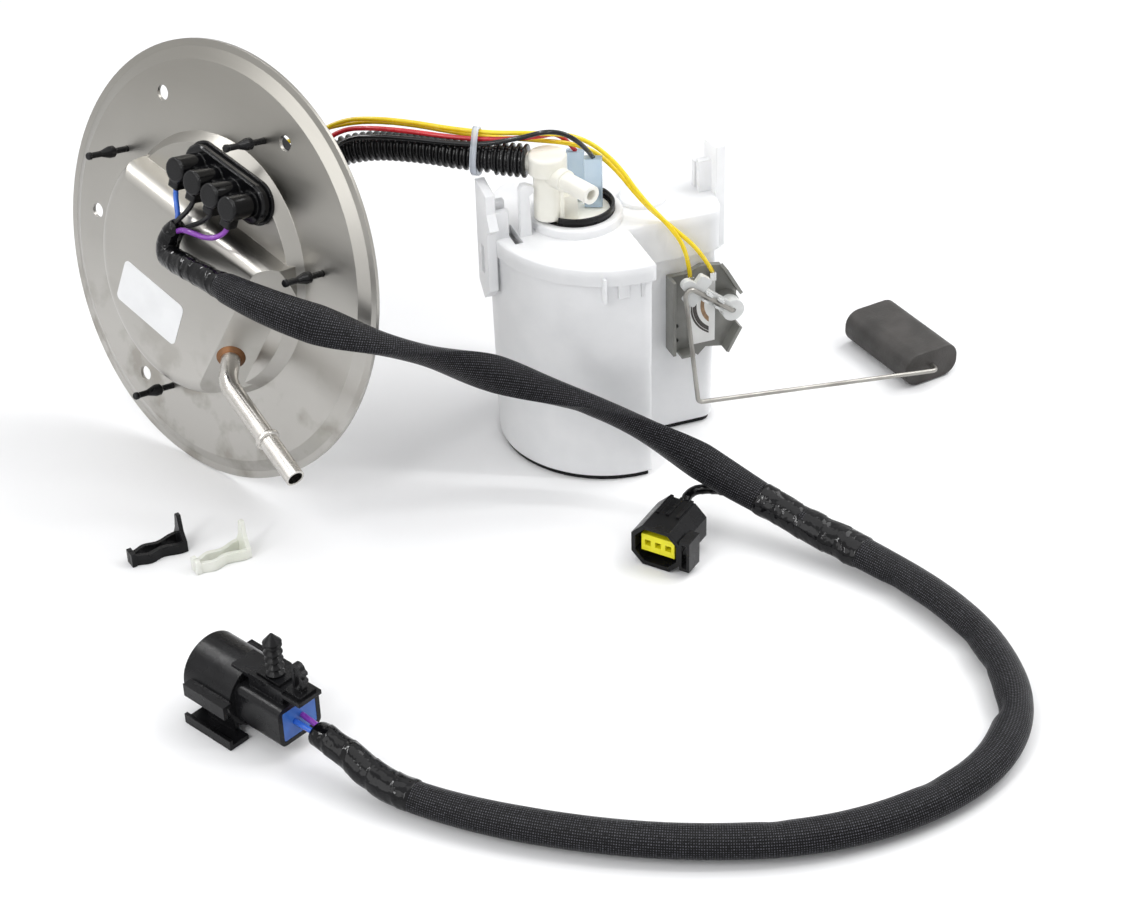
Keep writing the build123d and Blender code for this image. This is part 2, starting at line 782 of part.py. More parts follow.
def make_cap():
    """Nylon outlet cap: base in the neck, column with a valve chamber, nozzle and hose port."""
    base = pump_place * Pos(0, 0, cap_base_z) * Cylinder(pump_neck_r - 0.4, cap_base_height,
                                                         align=upward)
    column = Pos(column_x, column_y, cap_base_z + 4.5) * Cylinder(column_r, column_top - cap_base_z - 3.5,
                                                                 align=upward)
    head = Pos(column_x, column_y, column_top) * Cylinder(cap_head_r, cap_head_height,
                                                          align=upward)
    head = fillet(head.edges().group_by(Axis.Z)[-1], 1.6)
    bridge = box_at(column_x, pump_x - 2, column_y - 4.5, column_y + 4.5, cap_base_z + 4.5, cap_base_z + 14)
    foot = box_at(column_x + 5, pump_x - 2, column_y - 4.5, column_y + 4.5, cap_base_z, cap_base_z + 8)
    cap = base + column + head + bridge + foot
    for angle in (35, 90, 145):
        rib = Pos(column_x, column_y, 0) * Rot(0, 0, angle - 90) * box_at(0, column_r + 1.4, -0.7, 0.7,
                                                                         cap_base_z + 5, column_top)
        cap = cap + rib
    middle = Vector(column_x, column_y, nozzle_z)
    cap = cap + rod_between(middle, middle + heading(nozzle_heading) * nozzle_root_length, nozzle_root_r)
    cap = cap + rod_between(middle, middle + heading(nozzle_heading) * nozzle_length, nozzle_r)
    port_mid = Vector(column_x, column_y, cap_top_z - cap_head_height / 2 - 0.5)
    cap = cap + rod_between(port_mid, port_mid + heading(port_heading) * (cap_head_r + port_length), port_r)
    cap = cap + box_at(pump_x - 4.5, pump_x - 3.0, pump_y - 5, pump_y + 6, cap_base_z, cap_base_z + 19)
    chamber = Pos(column_x, column_y, valve_seat_z) * Cylinder(column_bore_r, cap_top_z - valve_seat_z - 2.5,
                                                              align=upward)
    cap = cap - chamber
    cap = cap - rod_between(middle, middle + heading(nozzle_heading) * (nozzle_length + 1), nozzle_bore_r)
    cap = cap - rod_between(port_mid, port_mid + heading(port_heading) * (cap_head_r + port_length + 1), 2.4)
    return cap


def make_poppet():
    """Check valve poppet that lifts off its seat when the pump runs."""
    low = valve_seat_z + seat_gap
    body = Pos(column_x, column_y, low) * Cylinder(poppet_r, poppet_height - 2, align=upward)
    nose = Pos(column_x, column_y, low + poppet_height - 2) * Cone(poppet_r, 1.2, 2, align=upward)
    return body + nose


def make_poppet_spring():
    """Small coil spring between the poppet and the head of the cap, drawn as a slim sleeve of turns."""
    low = valve_seat_z + poppet_height + 0.2
    turns = []
    count = 9
    pitch = spring_height / (count - 1)
    for i in range(count):
        z = low + spring_wire_r + i * pitch
        turns.append(Pos(column_x, column_y, z) * Torus(poppet_r - 0.8, spring_wire_r))
    return Compound(children=turns)


def make_sleeves():
    blocks = []
    for x, y in sleeve_places:
        block = Box(sleeve_wide, sleeve_deep, sleeve_height, align=upward)
        block = fillet(block.edges().filter_by(Axis.Z), 0.8)
        blocks.append(Pos(x, y, sleeve_base_z) * Rot(0, 0, -23) * block)
    return Compound(children=blocks)


# Level sender
wall_y = notch_y
bracket_front = wall_y - seat_gap - bracket_thick


def upright_plane(y):
    """Plane facing the viewer at the given y, with x to the right and z up."""
    return Plane(origin=(0, y, 0), x_dir=(1, 0, 0), z_dir=(0, -1, 0))


def guard(a, b):
    """Wall that stands out from the bracket along the line from a to b."""
    start, end = Vector(*a), Vector(*b)
    middle = (start + end) / 2
    slope = math.degrees(math.atan2(end.Y - start.Y, end.X - start.X))
    wall = Pos(middle.X, middle.Y) * Rot(0, 0, slope) * Rectangle((end - start).length, guard_thick)
    return extrude(upright_plane(bracket_front + 0.5) * wall, guard_depth + 0.5)


def make_bracket():
    """Grey sender bracket: base plate with guards round the arm's hub, and a V foot."""
    low = bracket_bottom_z
    corner_low = (bracket_right - 6, low - 1.5)
    corner_side_low = (bracket_right, low + 9.5)
    corner_side_top = (bracket_right, bracket_top_z - 11.5)
    corner_top = (bracket_right - 7, bracket_top_z + 1)
    outline = Polyline(
        (bracket_left, low + 2),
        (bracket_left + 3.5, low),
        (card_x - 5, low),
        (card_x - 1.5, low - 3.5),
        (card_x + 2, low),
        corner_low,
        corner_side_low,
        corner_side_top,
        corner_top,
        (card_x, bracket_top_z + 2.5),
        (bracket_left + 8, bracket_top_z),
        (bracket_left, bracket_top_z),
        close=True,
    )
    plate = extrude(upright_plane(wall_y - seat_gap) * make_face(outline), bracket_thick)
    plate = plate + guard(corner_low, corner_side_low) + guard(corner_side_top, corner_top)
    left = bracket_left + guard_thick / 2
    plate = plate + guard((left, low + 2), (left, bracket_top_z))
    plate = plate + guard((bracket_left + 4, low + 0.7), (card_x - 5, low + 0.7))
    front = bracket_front
    boss = rod_between((hub_x, front + 0.5, hub_z), (hub_x, front - hub_boss_length, hub_z), hub_boss_r)
    bore = rod_between((hub_x, front + 1, hub_z), (hub_x, front - 20, hub_z), journal_r + running_fit)
    plate = plate + boss - bore
    for z in (low + 6, low + 13):
        plate = plate - rod_between((bracket_left + 3.6, 0, z), (bracket_left + 3.6, -60, z), 1.1)
    return plate


def card_front():
    return bracket_front - seat_gap - card_thick


def make_card():
    back = bracket_front - seat_gap
    left = card_x - card_width / 2
    low = card_z - card_height / 2
    card = box_at(left, left + card_width, back - card_thick, back, low, low + card_height)
    clear_hub = rod_between((hub_x, back + 1, hub_z), (hub_x, back - 9, hub_z), hub_boss_r + clear)
    return card - clear_hub


def make_tracks():
    """Printed arcs that the wiper runs on, centred on the hub."""
    front = card_front()
    left = card_x - card_width / 2 + 0.4
    low = card_z - card_height / 2 + 2.5
    sheet = box_at(left, hub_x - 7.5, front - track_thick, front, low, hub_z + 4)
    arcs = []
    for radius, width in zip(track_radii, track_widths):
        ring = rod_between((hub_x, front, hub_z), (hub_x, front - track_thick, hub_z), radius + width / 2)
        ring = ring - rod_between((hub_x, front + 1, hub_z), (hub_x, front - 3, hub_z), radius - width / 2)
        arcs.append(ring & sheet)
    return Compound(children=arcs)


def make_sender_terminals():
    """Two tin-plated crimp tabs on the front of the bracket, one for each sender wire."""
    tabs = []
    for x in terminal_places:
        back = bracket_front - seat_gap
        low = terminal_top_z - terminal_height
        tabs.append(box_at(x - 1.4, x + 1.4, back - 2.6, back, low, terminal_top_z))
    return Compound(children=tabs)


rotor_back = bracket_front - hub_boss_length - clear
rotor_front = rotor_back - rotor_hub_length
rod_plane = rotor_front - rod_r
rotor_length = math.hypot(rotor_reach_x, rotor_reach_z)
rotor_angle = math.degrees(math.atan2(rotor_reach_z, rotor_reach_x))


def make_rotor():
    """White arm that turns in the bracket's bore and grips the float rod."""
    hub = rod_between((hub_x, rotor_back, hub_z), (hub_x, rotor_front, hub_z), rotor_hub_r)
    journal = rod_between((hub_x, bracket_front + 0.6, hub_z), (hub_x, rotor_back - 0.5, hub_z), journal_r)
    place = Plane(origin=(hub_x, rotor_front, hub_z), x_dir=(1, 0, 0), z_dir=(0, 1, 0))
    along = Rot(0, 0, -rotor_angle)
    arm = along * Pos(rotor_length / 2, 0, 0) * Box(rotor_length, rotor_arm_width, rotor_arm_thick,
                                                   align=upward)
    tip = along * Pos(rotor_length, 0, 0) * Cylinder(rotor_arm_width / 2, rotor_arm_thick,
                                                     align=upward)
    paddle = RectangleRounded(paddle_wide, paddle_long, 1.2)
    arm = arm + tip + along * Pos(paddle_from_hub, 0, 0) * extrude(paddle, rotor_arm_thick)
    for x in (0.36, 0.62):
        for side in (-1, 1):
            ear = Box(3.0, 1.0, 2 * rod_r + 0.6, align=(Align.CENTER, Align.CENTER, Align.MAX))
            arm = arm + along * Pos(rotor_length * x, side * (rod_r + 0.6), 0) * ear
    rotor = hub + journal + place.location * arm
    return rotor - rod_between((hub_x, 0, hub_z), (hub_x, 2 * rod_plane, hub_z), rod_r + 0.03)


def make_wiper():
    """Sprung contact strip from the arm to the resistor card."""
    angle = math.radians(rotor_angle)
    parts = []
    back = rotor_front + rotor_arm_thick
    front = card_front() - track_thick - 0.1
    for radius in track_radii[1:]:
        x = hub_x + radius * math.cos(angle)
        z = hub_z + radius * math.sin(angle)
        parts.append(box_at(x - 0.8, x + 0.8, back, front, z - 0.5, z + 0.5))
    return Compound(children=parts)


def make_rod():
    """Float rod of spring wire: pivot leg, lever over the rotor, knee, long arm and float pin."""
    yaw = math.radians(float_yaw)
    pin = (-math.sin(yaw), math.cos(yaw))
    reach = float_face_gap + float_bore_depth - 2
    points = [
        (hub_x, bracket_front + 1.0, hub_z),
        (hub_x, rod_plane, hub_z),
        (hub_x + rotor_reach_x * rod_overhang, rod_plane, hub_z + rotor_reach_z * rod_overhang),
        (rod_knee_x, rod_plane, rod_knee_z),
        (rod_end_x, rod_plane, rod_end_z),
        (rod_end_x + pin[0] * reach, rod_plane + pin[1] * reach, rod_end_z),
    ]
    return bent_tube(points, rod_r, 0, rod_bend_r)


def make_float():
    """Closed-cell float with rounded long edges, drilled along its length for the pin."""
    section = RectangleRounded(float_width, float_thick, float_edge_r)
    block = extrude(section, float_length)
    block = fillet(block.edges().filter_by(GeomType.LINE, reverse=True).group_by(Axis.Z)[0]
                   + block.edges().group_by(Axis.Z)[-1], 0.8)
    block = block - Cylinder(rod_r + running_fit, 2 * float_bore_depth)
    yaw = math.radians(float_yaw)
    forward = Vector(-math.sin(yaw), math.cos(yaw), 0)
    start = Vector(rod_end_x, rod_plane, rod_end_z) + forward * float_face_gap
    side = Vector(math.cos(yaw), math.sin(yaw), 0)
    return Plane(origin=start, x_dir=side, z_dir=forward).location * block


# Hose, cuff and tie
hose_points = [
    tube_inner,
    (-115.4, 46.4, 115.0),
    (-103.0, 51.0, 125.5),
    (-85.5, 43.5, 131.0),
    (-66.0, 26.0, 133.5),
]
port_start = Vector(column_x, column_y, cap_top_z - cap_head_height / 2 - 0.5)
cuff_end = port_start + heading(port_heading) * (cap_head_r + 0.6)
cuff_start = cuff_end + heading(port_heading) * cuff_length
hose_points.append(tuple(cuff_start + heading(port_heading) * 14.0))
hose_points.append(tuple(cuff_start))
tie_at = cuff_start + heading(port_heading) * 8.5


def make_cuff():
    cuff = rod_between(cuff_end, cuff_start, cuff_r)
    cuff = fillet(cuff.edges().filter_by(GeomType.CIRCLE), 1.0)
    bore = rod_between(cuff_end - heading(port_heading), cuff_start + heading(port_heading), port_r + 0.02)
    return cuff - bore


def make_tie():
    """Cable tie round the hose and the four wires, with its lock on the near side."""
    hose_run = Vector(*hose_points[-1]) - Vector(*hose_points[-2])
    place = Plane(tie_at + Vector(0, 0, 2.9), x_dir=hose_run.cross(Vector(0, 0, 1)), z_dir=hose_run)
    inner = RectangleRounded(2 * (hose_r + 0.35), 18.8, 5.6)
    outer = offset(inner, tie_thick)
    band = extrude(outer - inner, tie_width / 2, both=True)
    lock = Pos(hose_r + 0.35 + 2.4, -3.0, 0) * Box(3.6, 6.0, tie_width + 0.6)
    return place.location * (band + lock)


# Wires from the flange to the pump and the sender
def pin_tip(index):
    """World point at the inner end of a connector pin."""
    p = (plug_place * Pos(barrel_places[index], 0, gasket_thick - 3 - pin_length)).position
    return on_flange(p.X, p.Y, p.Z)


def behind_pin(index, distance):
    tip = Vector(*pin_tip(index)) - flange_face * distance
    return (tip.X, tip.Y, tip.Z)


rear_sleeve_x, rear_sleeve_y = sleeve_places[1]
front_sleeve_x, front_sleeve_y = sleeve_places[0]
sleeve_top_z = sleeve_base_z + sleeve_height
red_points = [
    pin_tip(2),
    behind_pin(2, 12.0),
    (-99.1, 49.5, 137.5),
    (-82.4, 33.0, 143.0),
    (-50.0, 10.7, 141.0),
    (-27.0, 0.0, 143.0),
    (-15.5, 4.5, 141.0),
    (rear_sleeve_x, rear_sleeve_y, sleeve_top_z),
]
black_points = [
    pin_tip(3),
    behind_pin(3, 12.0),
    (-98.0, 46.0, 135.5),
    (-80.3, 30.5, 139.6),
    (-51.9, 8.3, 140.3),
    (-37.0, 0.5, 143.6),
    (-24.0, -11.5, 151.5),
    (-12.5, -13.0, 143.5),
    (front_sleeve_x, front_sleeve_y, sleeve_top_z),
]
yellow_a_points = [
    pin_tip(1),
    behind_pin(1, 12.0),
    (-98.2, 52.0, 140.5),
    (-79.5, 35.5, 145.5),
    (-49.0, 12.2, 143.6),
    (-28.0, -2.0, 146.0),
    (-8.6, 0.6, 139.8),
    (4.2, -4.8, 128.5),
    (11.8, -16.0, 114.5),
    (20.0, -23.3, 105.0),
    (27.8, -24.8, 92.0),
    (terminal_places[0], bracket_front - 1.4, terminal_top_z),
]
yellow_b_points = [
    pin_tip(0),
    behind_pin(0, 12.0),
    (-96.9, 55.0, 137.0),
    (-78.0, 39.0, 142.5),
    (-48.0, 13.9, 141.0),
    (-30.0, 4.0, 140.8),
    (-6.8, 1.8, 134.9),
    (4.4, -1.2, 124.8),
    (12.6, -13.4, 111.9),
    (21.0, -21.1, 103.6),
    (34.5, -23.5, 89.5),
    (terminal_places[1], bracket_front - 1.4, terminal_top_z),
]


# Loom from the flange connector round the front to the chassis connector
trunk_points = [
    (-171.0, 19.0, 105.5),
    (-161.0, -7.5, 107.0),
    (-139.5, -33.0, 102.5),
    (-105.5, -48.5, 90.5),
    (-64.5, -46.5, 67.5),
    (-23.0, -54.0, 46.0),
    (5.0, -74.0, 30.0),
    (24.0, -93.5, 18.5),
    (40.5, -117.0, 12.0),
    (58.0, -143.0, 8.0),
    (72.0, -173.0, 6.8),
    (77.0, -207.0, 6.7),
    (69.5, -242.5, 6.7),
    (45.0, -268.5, 6.7),
    (8.0, -279.5, 6.7),
    (-31.0, -278.5, 6.7),
    (-70.0, -265.5, 6.7),
    (-104.0, -247.5, 6.7),
    (-136.5, -224.0, 6.7),
    (-160.5, -199.5, 7.0),
]
trunk_start = Vector(*trunk_points[0])


def connector_point(x, y, angle, forward, left, up):
    """World point of a place given from a connector's middle: forward to its mouth, left, up."""
    a = math.radians(angle)
    along = forward * math.cos(a) - left * math.sin(a)
    across = forward * math.sin(a) + left * math.cos(a)
    return (x + along, y + across, up)


round_rear = -round_body_length
trunk_points.append(connector_point(round_x, round_y, round_heading, round_rear - 20, 0, round_axis_z - 1.5))
trunk_points.append(connector_point(round_x, round_y, round_heading, round_rear, 0, round_axis_z - 1.5))

branch_points = [
    (17.5, -89.5, 16.0),
    (13.5, -80.0, 13.0),
    (4.0, -78.5, 10.5),
    connector_point(three_x, three_y, three_heading, 1 - three_length, 0, 9.5),
]


def lane(index, point, along):
    """A place in the bundle of four wires round a point of the flange's own frame."""
    along = along.normalized()
    across = along.cross(Vector(0, 0, 1)).normalized()
    above = across.cross(along)
    u, v = bundle_lanes[index]
    return point + across * u + above * v


bundle_lanes = ((1.55, -1.25), (1.55, 1.25), (-1.55, -1.25), (-1.55, 1.25))
bundle_points = (
    Vector(3.5, 22.0, 25.5),
    Vector(-2.6, 14.6, 26.0),
    Vector(0.2, 8.6, 27.5),
)


def pigtail_points(index):
    """One wire from its outlet, over the dome, round the taped fold and into the loom."""
    start = Vector(*outlet_point(index))
    tilt = math.radians(plug_tilt)
    down = Vector(math.sin(tilt), -math.cos(tilt), 0)
    first = start + down * 3.5
    local = [start, first] + [Vector(*m) for m in pigtail_middles[index]]
    loom_start = flange_plane.to_local_coords(trunk_start)
    loom_run = flange_plane.to_local_coords(Vector(*trunk_points[1])) - loom_start
    bundle = list(bundle_points) + [loom_start - loom_run.normalized() * 6.5, loom_start]
    last = len(bundle) - 1
    for i, point in enumerate(bundle):
        before = bundle[i] - bundle[i - 1] if i else bundle[1] - bundle[0]
        after = bundle[i + 1] - bundle[i] if i < last else loom_run
        local.append(lane(index, point, before.normalized() + after.normalized()))
    return [on_flange(p.X, p.Y, p.Z) for p in local]


pigtail_middles = ((), (), (), ((21.5, 21.8, 25.5), (13.0, 23.5, 29.5)))


# Three-way connector
three_place = Pos(three_x, three_y, 0) * Rot(0, 0, three_heading)


def octagon(width, height, corner):
    """Rectangle with cut corners, standing across a connector's axis."""
    face = chamfer(Rectangle(width, height).vertices(), corner)
    return Plane(origin=(0, 0, 0), x_dir=(0, 1, 0), z_dir=(1, 0, 0)) * face


def make_three_shell():
    """Socket housing with cut corners, ribs on its back and a sprung latch on top."""
    length = three_length
    z = three_height / 2 + 0.2
    body = Pos(-length, 0, z) * extrude(octagon(three_width, three_height, three_corner), length)
    wall = three_wall
    inner = octagon(three_width - 2 * wall, three_height - 2 * wall, three_corner - wall / 2)
    body = body - Pos(-three_depth, 0, z) * extrude(inner, three_depth + 1)
    pocket = box_at(-length + 4, 1, -three_insert_width / 2, three_insert_width / 2,
                    z - three_insert_height / 2, z + three_insert_height / 2)
    body = body - pocket
    for y in (-4.5, 0, 4.5):
        body = body + box_at(-length, -three_depth + 4, y - 0.7, y + 0.7, z + three_height / 2 - 0.5,
                             z + three_height / 2 + 1.0)
    side = three_width / 2
    half = three_latch_width / 2
    bridge = box_at(-three_latch_length, 0, side - 0.5, side + three_latch_height, z - half, z + half)
    bridge = bridge - box_at(-three_latch_length - 1, 1, side + 0.6, side + three_latch_height - 1.2,
                             z - half + 1.4, z + half - 1.4)
    return three_place * (body + bridge)


def make_three_insert():
    """Coloured insert with three cavities."""
    z = three_height / 2 + 0.2
    gap = seat_gap
    half_wide = three_insert_width / 2 - gap
    insert = box_at(-three_length + 4 + gap, -2.0, -half_wide, half_wide,
                    z - three_insert_height / 2 + gap, z + three_insert_height / 2 - gap)
    for i in (-1, 0, 1):
        half = three_cavity / 2
        y = i * three_pitch
        insert = insert - box_at(-three_length + 6, 1, y - half, y + half, z - half, z + half)
    return three_place * insert


def make_three_terminals():
    """Three receptacle contacts at the back of the cavities."""
    z = three_height / 2 + 0.2
    contacts = []
    for i in (-1, 0, 1):
        half = three_cavity / 2 - 0.3
        y = i * three_pitch
        tube = box_at(-three_length + 6.3, -three_length + 14, y - half, y + half, z - half, z + half)
        bore = half - 0.3
        tube = tube - box_at(-three_length + 8, 1, y - bore, y + bore, z - bore, z + bore)
        contacts.append(tube)
    return three_place * Compound(children=contacts)


# Round chassis connector
round_place = Pos(round_x, round_y, 0) * Rot(0, 0, round_heading)


def make_round_shell():
    """Round shroud on a squarish body, with a side rail, a foot rail and a clip carrier on top."""
    z = round_axis_z
    mouth = shroud_length
    shroud = rod_between((-2, 0, z), (mouth, 0, z), shroud_r)
    shroud = shroud - rod_between((2, 0, z), (mouth + 1, 0, z), shroud_r - shroud_wall)
    half_w = round_body_wide / 2
    half_h = round_body_high / 2
    body = box_at(-round_body_length, 0, -half_w, half_w, z - half_h, z + half_h)
    body = fillet(body.edges().filter_by(Axis.X), 3.0)
    shell = shroud + body
    wall = round_body_wall
    shell = shell - box_at(-round_body_length - 1, -4, -half_w + wall, half_w - wall, z - half_h + wall,
                           z + half_h - wall)
    shell = shell + make_side_rail(1) + make_side_rail(-1) + make_foot_rail()
    for i in range(4):
        y = (i - 1.5) * 4.4
        shell = shell - box_at(-5, 3, y - 1.0, y + 1.0, z - 1.0, z + 1.0)
    deck_low = carrier_z - carrier_thick
    rear = fir_from_middle - carrier_length / 2
    half = carrier_wide / 2
    deck = box_at(rear, rear + carrier_length, -half, half, deck_low, carrier_z)
    wall_start = fir_from_middle - carrier_wall_length / 2
    wall_end = wall_start + carrier_wall_length
    near = box_at(wall_start, wall_end, half - 1.4, half, z + half_h - 1, carrier_z + 0.6)
    far = box_at(wall_start, wall_end, -half, 1.4 - half, z + half_h - 1, deck_low + 0.5)
    post = box_at(wall_start - 3, wall_start, -half + 1.5, half - 1.5, z + half_h - 1, deck_low + 0.5)
    post = post & box_at(-round_body_length, 0, -half, half, 0, 2 * z + half_h)
    return round_place * (shell + deck + near + far + post)


def make_side_rail(side):
    """Channel rail that stands off the shroud's side."""
    z = round_axis_z + 0.5
    half = side_rail_height / 2
    out = side * (shroud_r + 2.6)
    rail_end = shroud_length - 4
    rail = box_at(rail_end - side_rail_length, rail_end, out - 1.0, out + 1.0, z - half, z + half)
    top = box_at(rail_end - side_rail_length, rail_end, out - 3.2 + 0.2 * side, out + 3.2 + 0.2 * side,
                 z + half - 1.4, z + half)
    inner = rod_between((rail_end - side_rail_length - 1, 0, round_axis_z), (rail_end + 1, 0, round_axis_z),
                        shroud_r - shroud_wall)
    keep = box_at(-40, 40, min(0, side * 30), max(0, side * 30), 0, 60)
    limit = box_at(-40, 40, out - 4.0 if side > 0 else out - 1.0, out + 1.0 if side > 0 else out + 4.0, 0, 60)
    return (rail + (top & keep & limit)) - inner


def make_foot_rail():
    """Flat latch rail under the shroud's near side."""
    front = shroud_length - 3
    rear = front - foot_rail_length
    side = shroud_r - 5.0
    shelf = box_at(rear, front, side, side + foot_rail_wide, 0, 2.0)
    lip = box_at(rear, front, side - 1.4 + foot_rail_wide, side + foot_rail_wide, 0, 4.2)
    strut = box_at(rear + 5, front - 5, side, side + 2.0, 0, 7.5)
    inner = rod_between((-1, 0, round_axis_z), (front + 1, 0, round_axis_z), shroud_r - shroud_wall)
    return shelf + lip + (strut - inner)


def make_round_insert():
    """Coloured insert behind the contacts; the loom's wires enter its back."""
    half_w = round_body_wide / 2 - round_body_wall - seat_gap
    half_h = round_body_high / 2 - round_body_wall - seat_gap
    z = round_axis_z
    insert = box_at(-round_body_length + 0.05, -4.3, -half_w, half_w, z - half_h, z + half_h)
    insert = fillet(insert.edges().filter_by(Axis.X), 1.0)
    for i in range(4):
        y = (i - 1.5) * 4.4
        insert = insert - box_at(-12, 0, y - 0.5, y + 0.5, z - 0.5, z + 0.5)
    return round_place * insert


def make_round_terminals():
    """Four pins standing in the shroud."""
    pins = []
    for i in range(4):
        y = (i - 1.5) * 4.4
        z = round_axis_z
        pins.append(box_at(-11.5, shroud_length - 8, y - 0.45, y + 0.45, z - 0.45, z + 0.45))
    return round_place * Compound(children=pins)


def make_fir_clip():
    """Panel clip with springy fins on the connector's carrier."""
    base_z = carrier_z + seat_gap
    x = fir_from_middle
    half = carrier_wide / 2 - 1.4 - clear
    clip = box_at(x - 6, x + 6, -half, half, base_z, base_z + 1.4)
    clip = clip + Pos(x, 0, base_z) * Cylinder(fir_r, fir_height, align=upward)
    tip = Cone(fir_fin_r, 0.6, 3.6, align=upward)
    clip = clip + Pos(x, 0, base_z + fir_height - 1.0) * tip
    for i in range(fir_fins):
        z = base_z + 3.0 + i * (fir_height - 4.5) / (fir_fins - 1)
        fin = Cone(fir_fin_r, fir_r, 1.5, align=upward)
        clip = clip + Pos(x, 0, z - 0.8) * fin
    return round_place * clip


def make_loop_clip():
    """Second panel clip: a closed loop with two small teeth on its outer side."""
    base_z = carrier_z + seat_gap
    x = loop_from_middle
    half = loop_wide / 2
    ring = Pos(0, loop_height / 2) * SlotOverall(loop_height, loop_wide, rotation=90)
    hole = Pos(0, loop_height / 2) * SlotOverall(loop_height - 3.0, loop_wide - 2.6, rotation=90)
    face = ring - hole
    for height in (0.48, 0.72):
        tooth = Polyline((-half + 0.3, height * loop_height + 1.6), (-half - 1.2, height * loop_height + 0.8),
                         (-half - 1.2, height * loop_height - 0.4), (-half + 0.3, height * loop_height - 0.4),
                         close=True)
        face = face + make_face(tooth)
    upright = Plane(origin=(x, 0, base_z), x_dir=(1, 0, 0), z_dir=(0, -1, 0)) * face
    loop = extrude(upright, loop_thick / 2, both=True)
    loop = loop & box_at(x - 20, x + 20, -10, 10, base_z + 0.4, base_z + 40)
    base_half = carrier_wide / 2 - 1.4
    return round_place * (loop + box_at(x - 4.0, x + 4.0, -base_half, base_half, base_z, base_z + 1.4))


# Loose retainer clips
def make_retainer(place):
    """Retainer for a quick connector: two waved arms that meet an upright release tab."""
    x, y, angle = place
    half_l = clip_length / 2
    half_w = clip_width / 2
    shape = ((half_l, 1.0), (half_l - 5, 0.92), (1.0, 0.62), (-4.5, 0.86), (-8.0, 0.60), (-half_l, 0.42))
    outer = Spline([(px, half_w * share) for px, share in shape])
    inner = Spline([(px, half_w * share - clip_arm) for px, share in shape])
    face = make_face([outer, Line(outer @ 1, inner @ 1), inner, Line(inner @ 0, outer @ 0)])
    arm = extrude(face, clip_thick)
    open_end = 0.42 * half_w
    toe = box_at(-half_l - 0.6, -half_l + 1.4, open_end - clip_arm, open_end + 0.6, 0, clip_thick + 1.6)
    arm = arm + toe
    body = arm + mirror(arm, about=Plane.XZ)
    tab = Polyline(
        (-half_w, 0),
        (half_w, 0),
        (half_w, clip_thick),
        (0.5 * half_w, 0.55 * clip_tab_height),
        (0.22 * half_w, clip_tab_height),
        (-0.22 * half_w, clip_tab_height),
        (-0.5 * half_w, 0.55 * clip_tab_height),
        (-half_w, clip_thick),
        close=True,
    )
    upright = extrude(Plane.YZ * make_face(tab), clip_tab_thick)
    body = body + Pos(half_l - clip_tab_thick, 0, 0) * upright
    return Pos(x, y, 0) * Rot(0, 0, angle) * body


save("cover_flange", flange_plane.location * make_flange())
save("flange_seal", flange_plane.location * make_flange_seal())
save("flange_label", flange_plane.location * make_label())
save("bulkhead_connector", flange_plane.location * make_bulkhead())
save("bulkhead_seal", flange_plane.location * make_gasket())
save("bulkhead_pins", flange_plane.location * make_bulkhead_pins())
save("outlet_tube", make_outlet_tube())
save("braze_ring", make_braze_ring())
save("reservoir_tub", make_tub())
save("reservoir_foot", make_foot())
save("reservoir_lid", make_lid())
save("fill_valve", make_fill_valve())
save("pump_can", make_pump_can())
save("inlet_cover", make_inlet_cover())
save("inlet_strainer", make_strainer())
save("field_magnets", make_magnets())
save("armature", make_armature())
save("impeller", make_impeller())
save("carbon_brushes", make_brushes())
save("pump_seal_ring", make_seal_ring())
save("pump_cap", make_cap())
save("check_poppet", make_poppet())
save("check_spring", make_poppet_spring())
save("power_terminals", make_sleeves())
save("sender_bracket", make_bracket())
save("resistor_card", make_card())
save("resistor_tracks", make_tracks())
save("sender_terminals", make_sender_terminals())
save("sender_rotor", make_rotor())
save("wiper_contact", make_wiper())
save("float_rod", make_rod())
save("float", make_float())
save("hose_cuff", make_cuff())
save("cable_tie", make_tie())
save("feed_hose", cord("feed_hose", hose_points, hose_r))
save("red_wire", cord("red_wire", red_points, wire_r))
save("black_wire", cord("black_wire", black_points, wire_r))
save("yellow_wire_a", cord("yellow_wire_a", yellow_a_points, wire_r))
save("yellow_wire_b", cord("yellow_wire_b", yellow_b_points, wire_r))
for number, colour in enumerate(("blue", "black_a", "black_b", "purple")):
    save(f"pigtail_{colour}", cord(f"pigtail_{colour}", pigtail_points(number), pigtail_r))
save("harness_trunk", cord("harness_trunk", trunk_points, trunk_r))
save("branch_trunk", cord("branch_trunk", branch_points, branch_r))
save("three_way_shell", make_three_shell())
save("three_way_insert", make_three_insert())
save("three_way_terminals", make_three_terminals())
save("round_plug_shell", make_round_shell())
save("round_plug_insert", make_round_insert())
save("round_plug_terminals", make_round_terminals())
save("loom_clip_fir", make_fir_clip())
save("loom_clip_loop", make_loop_clip())
save("retainer_clip_black", make_retainer(black_clip_place))
save("retainer_clip_natural", make_retainer(natural_clip_place))
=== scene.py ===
# %% [markdown]
# # A fuel pump module, dressed for the camera
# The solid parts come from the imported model, already in their places. This lesson adds
# what a machined or moulded solid can't show by itself: ribbed hose, woven loom sleeve,
# tape, wires, and the finish of each material. Everything is in metres, with +Z up.

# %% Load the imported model
import bpy
import numpy as np
from mathutils import Matrix, Vector


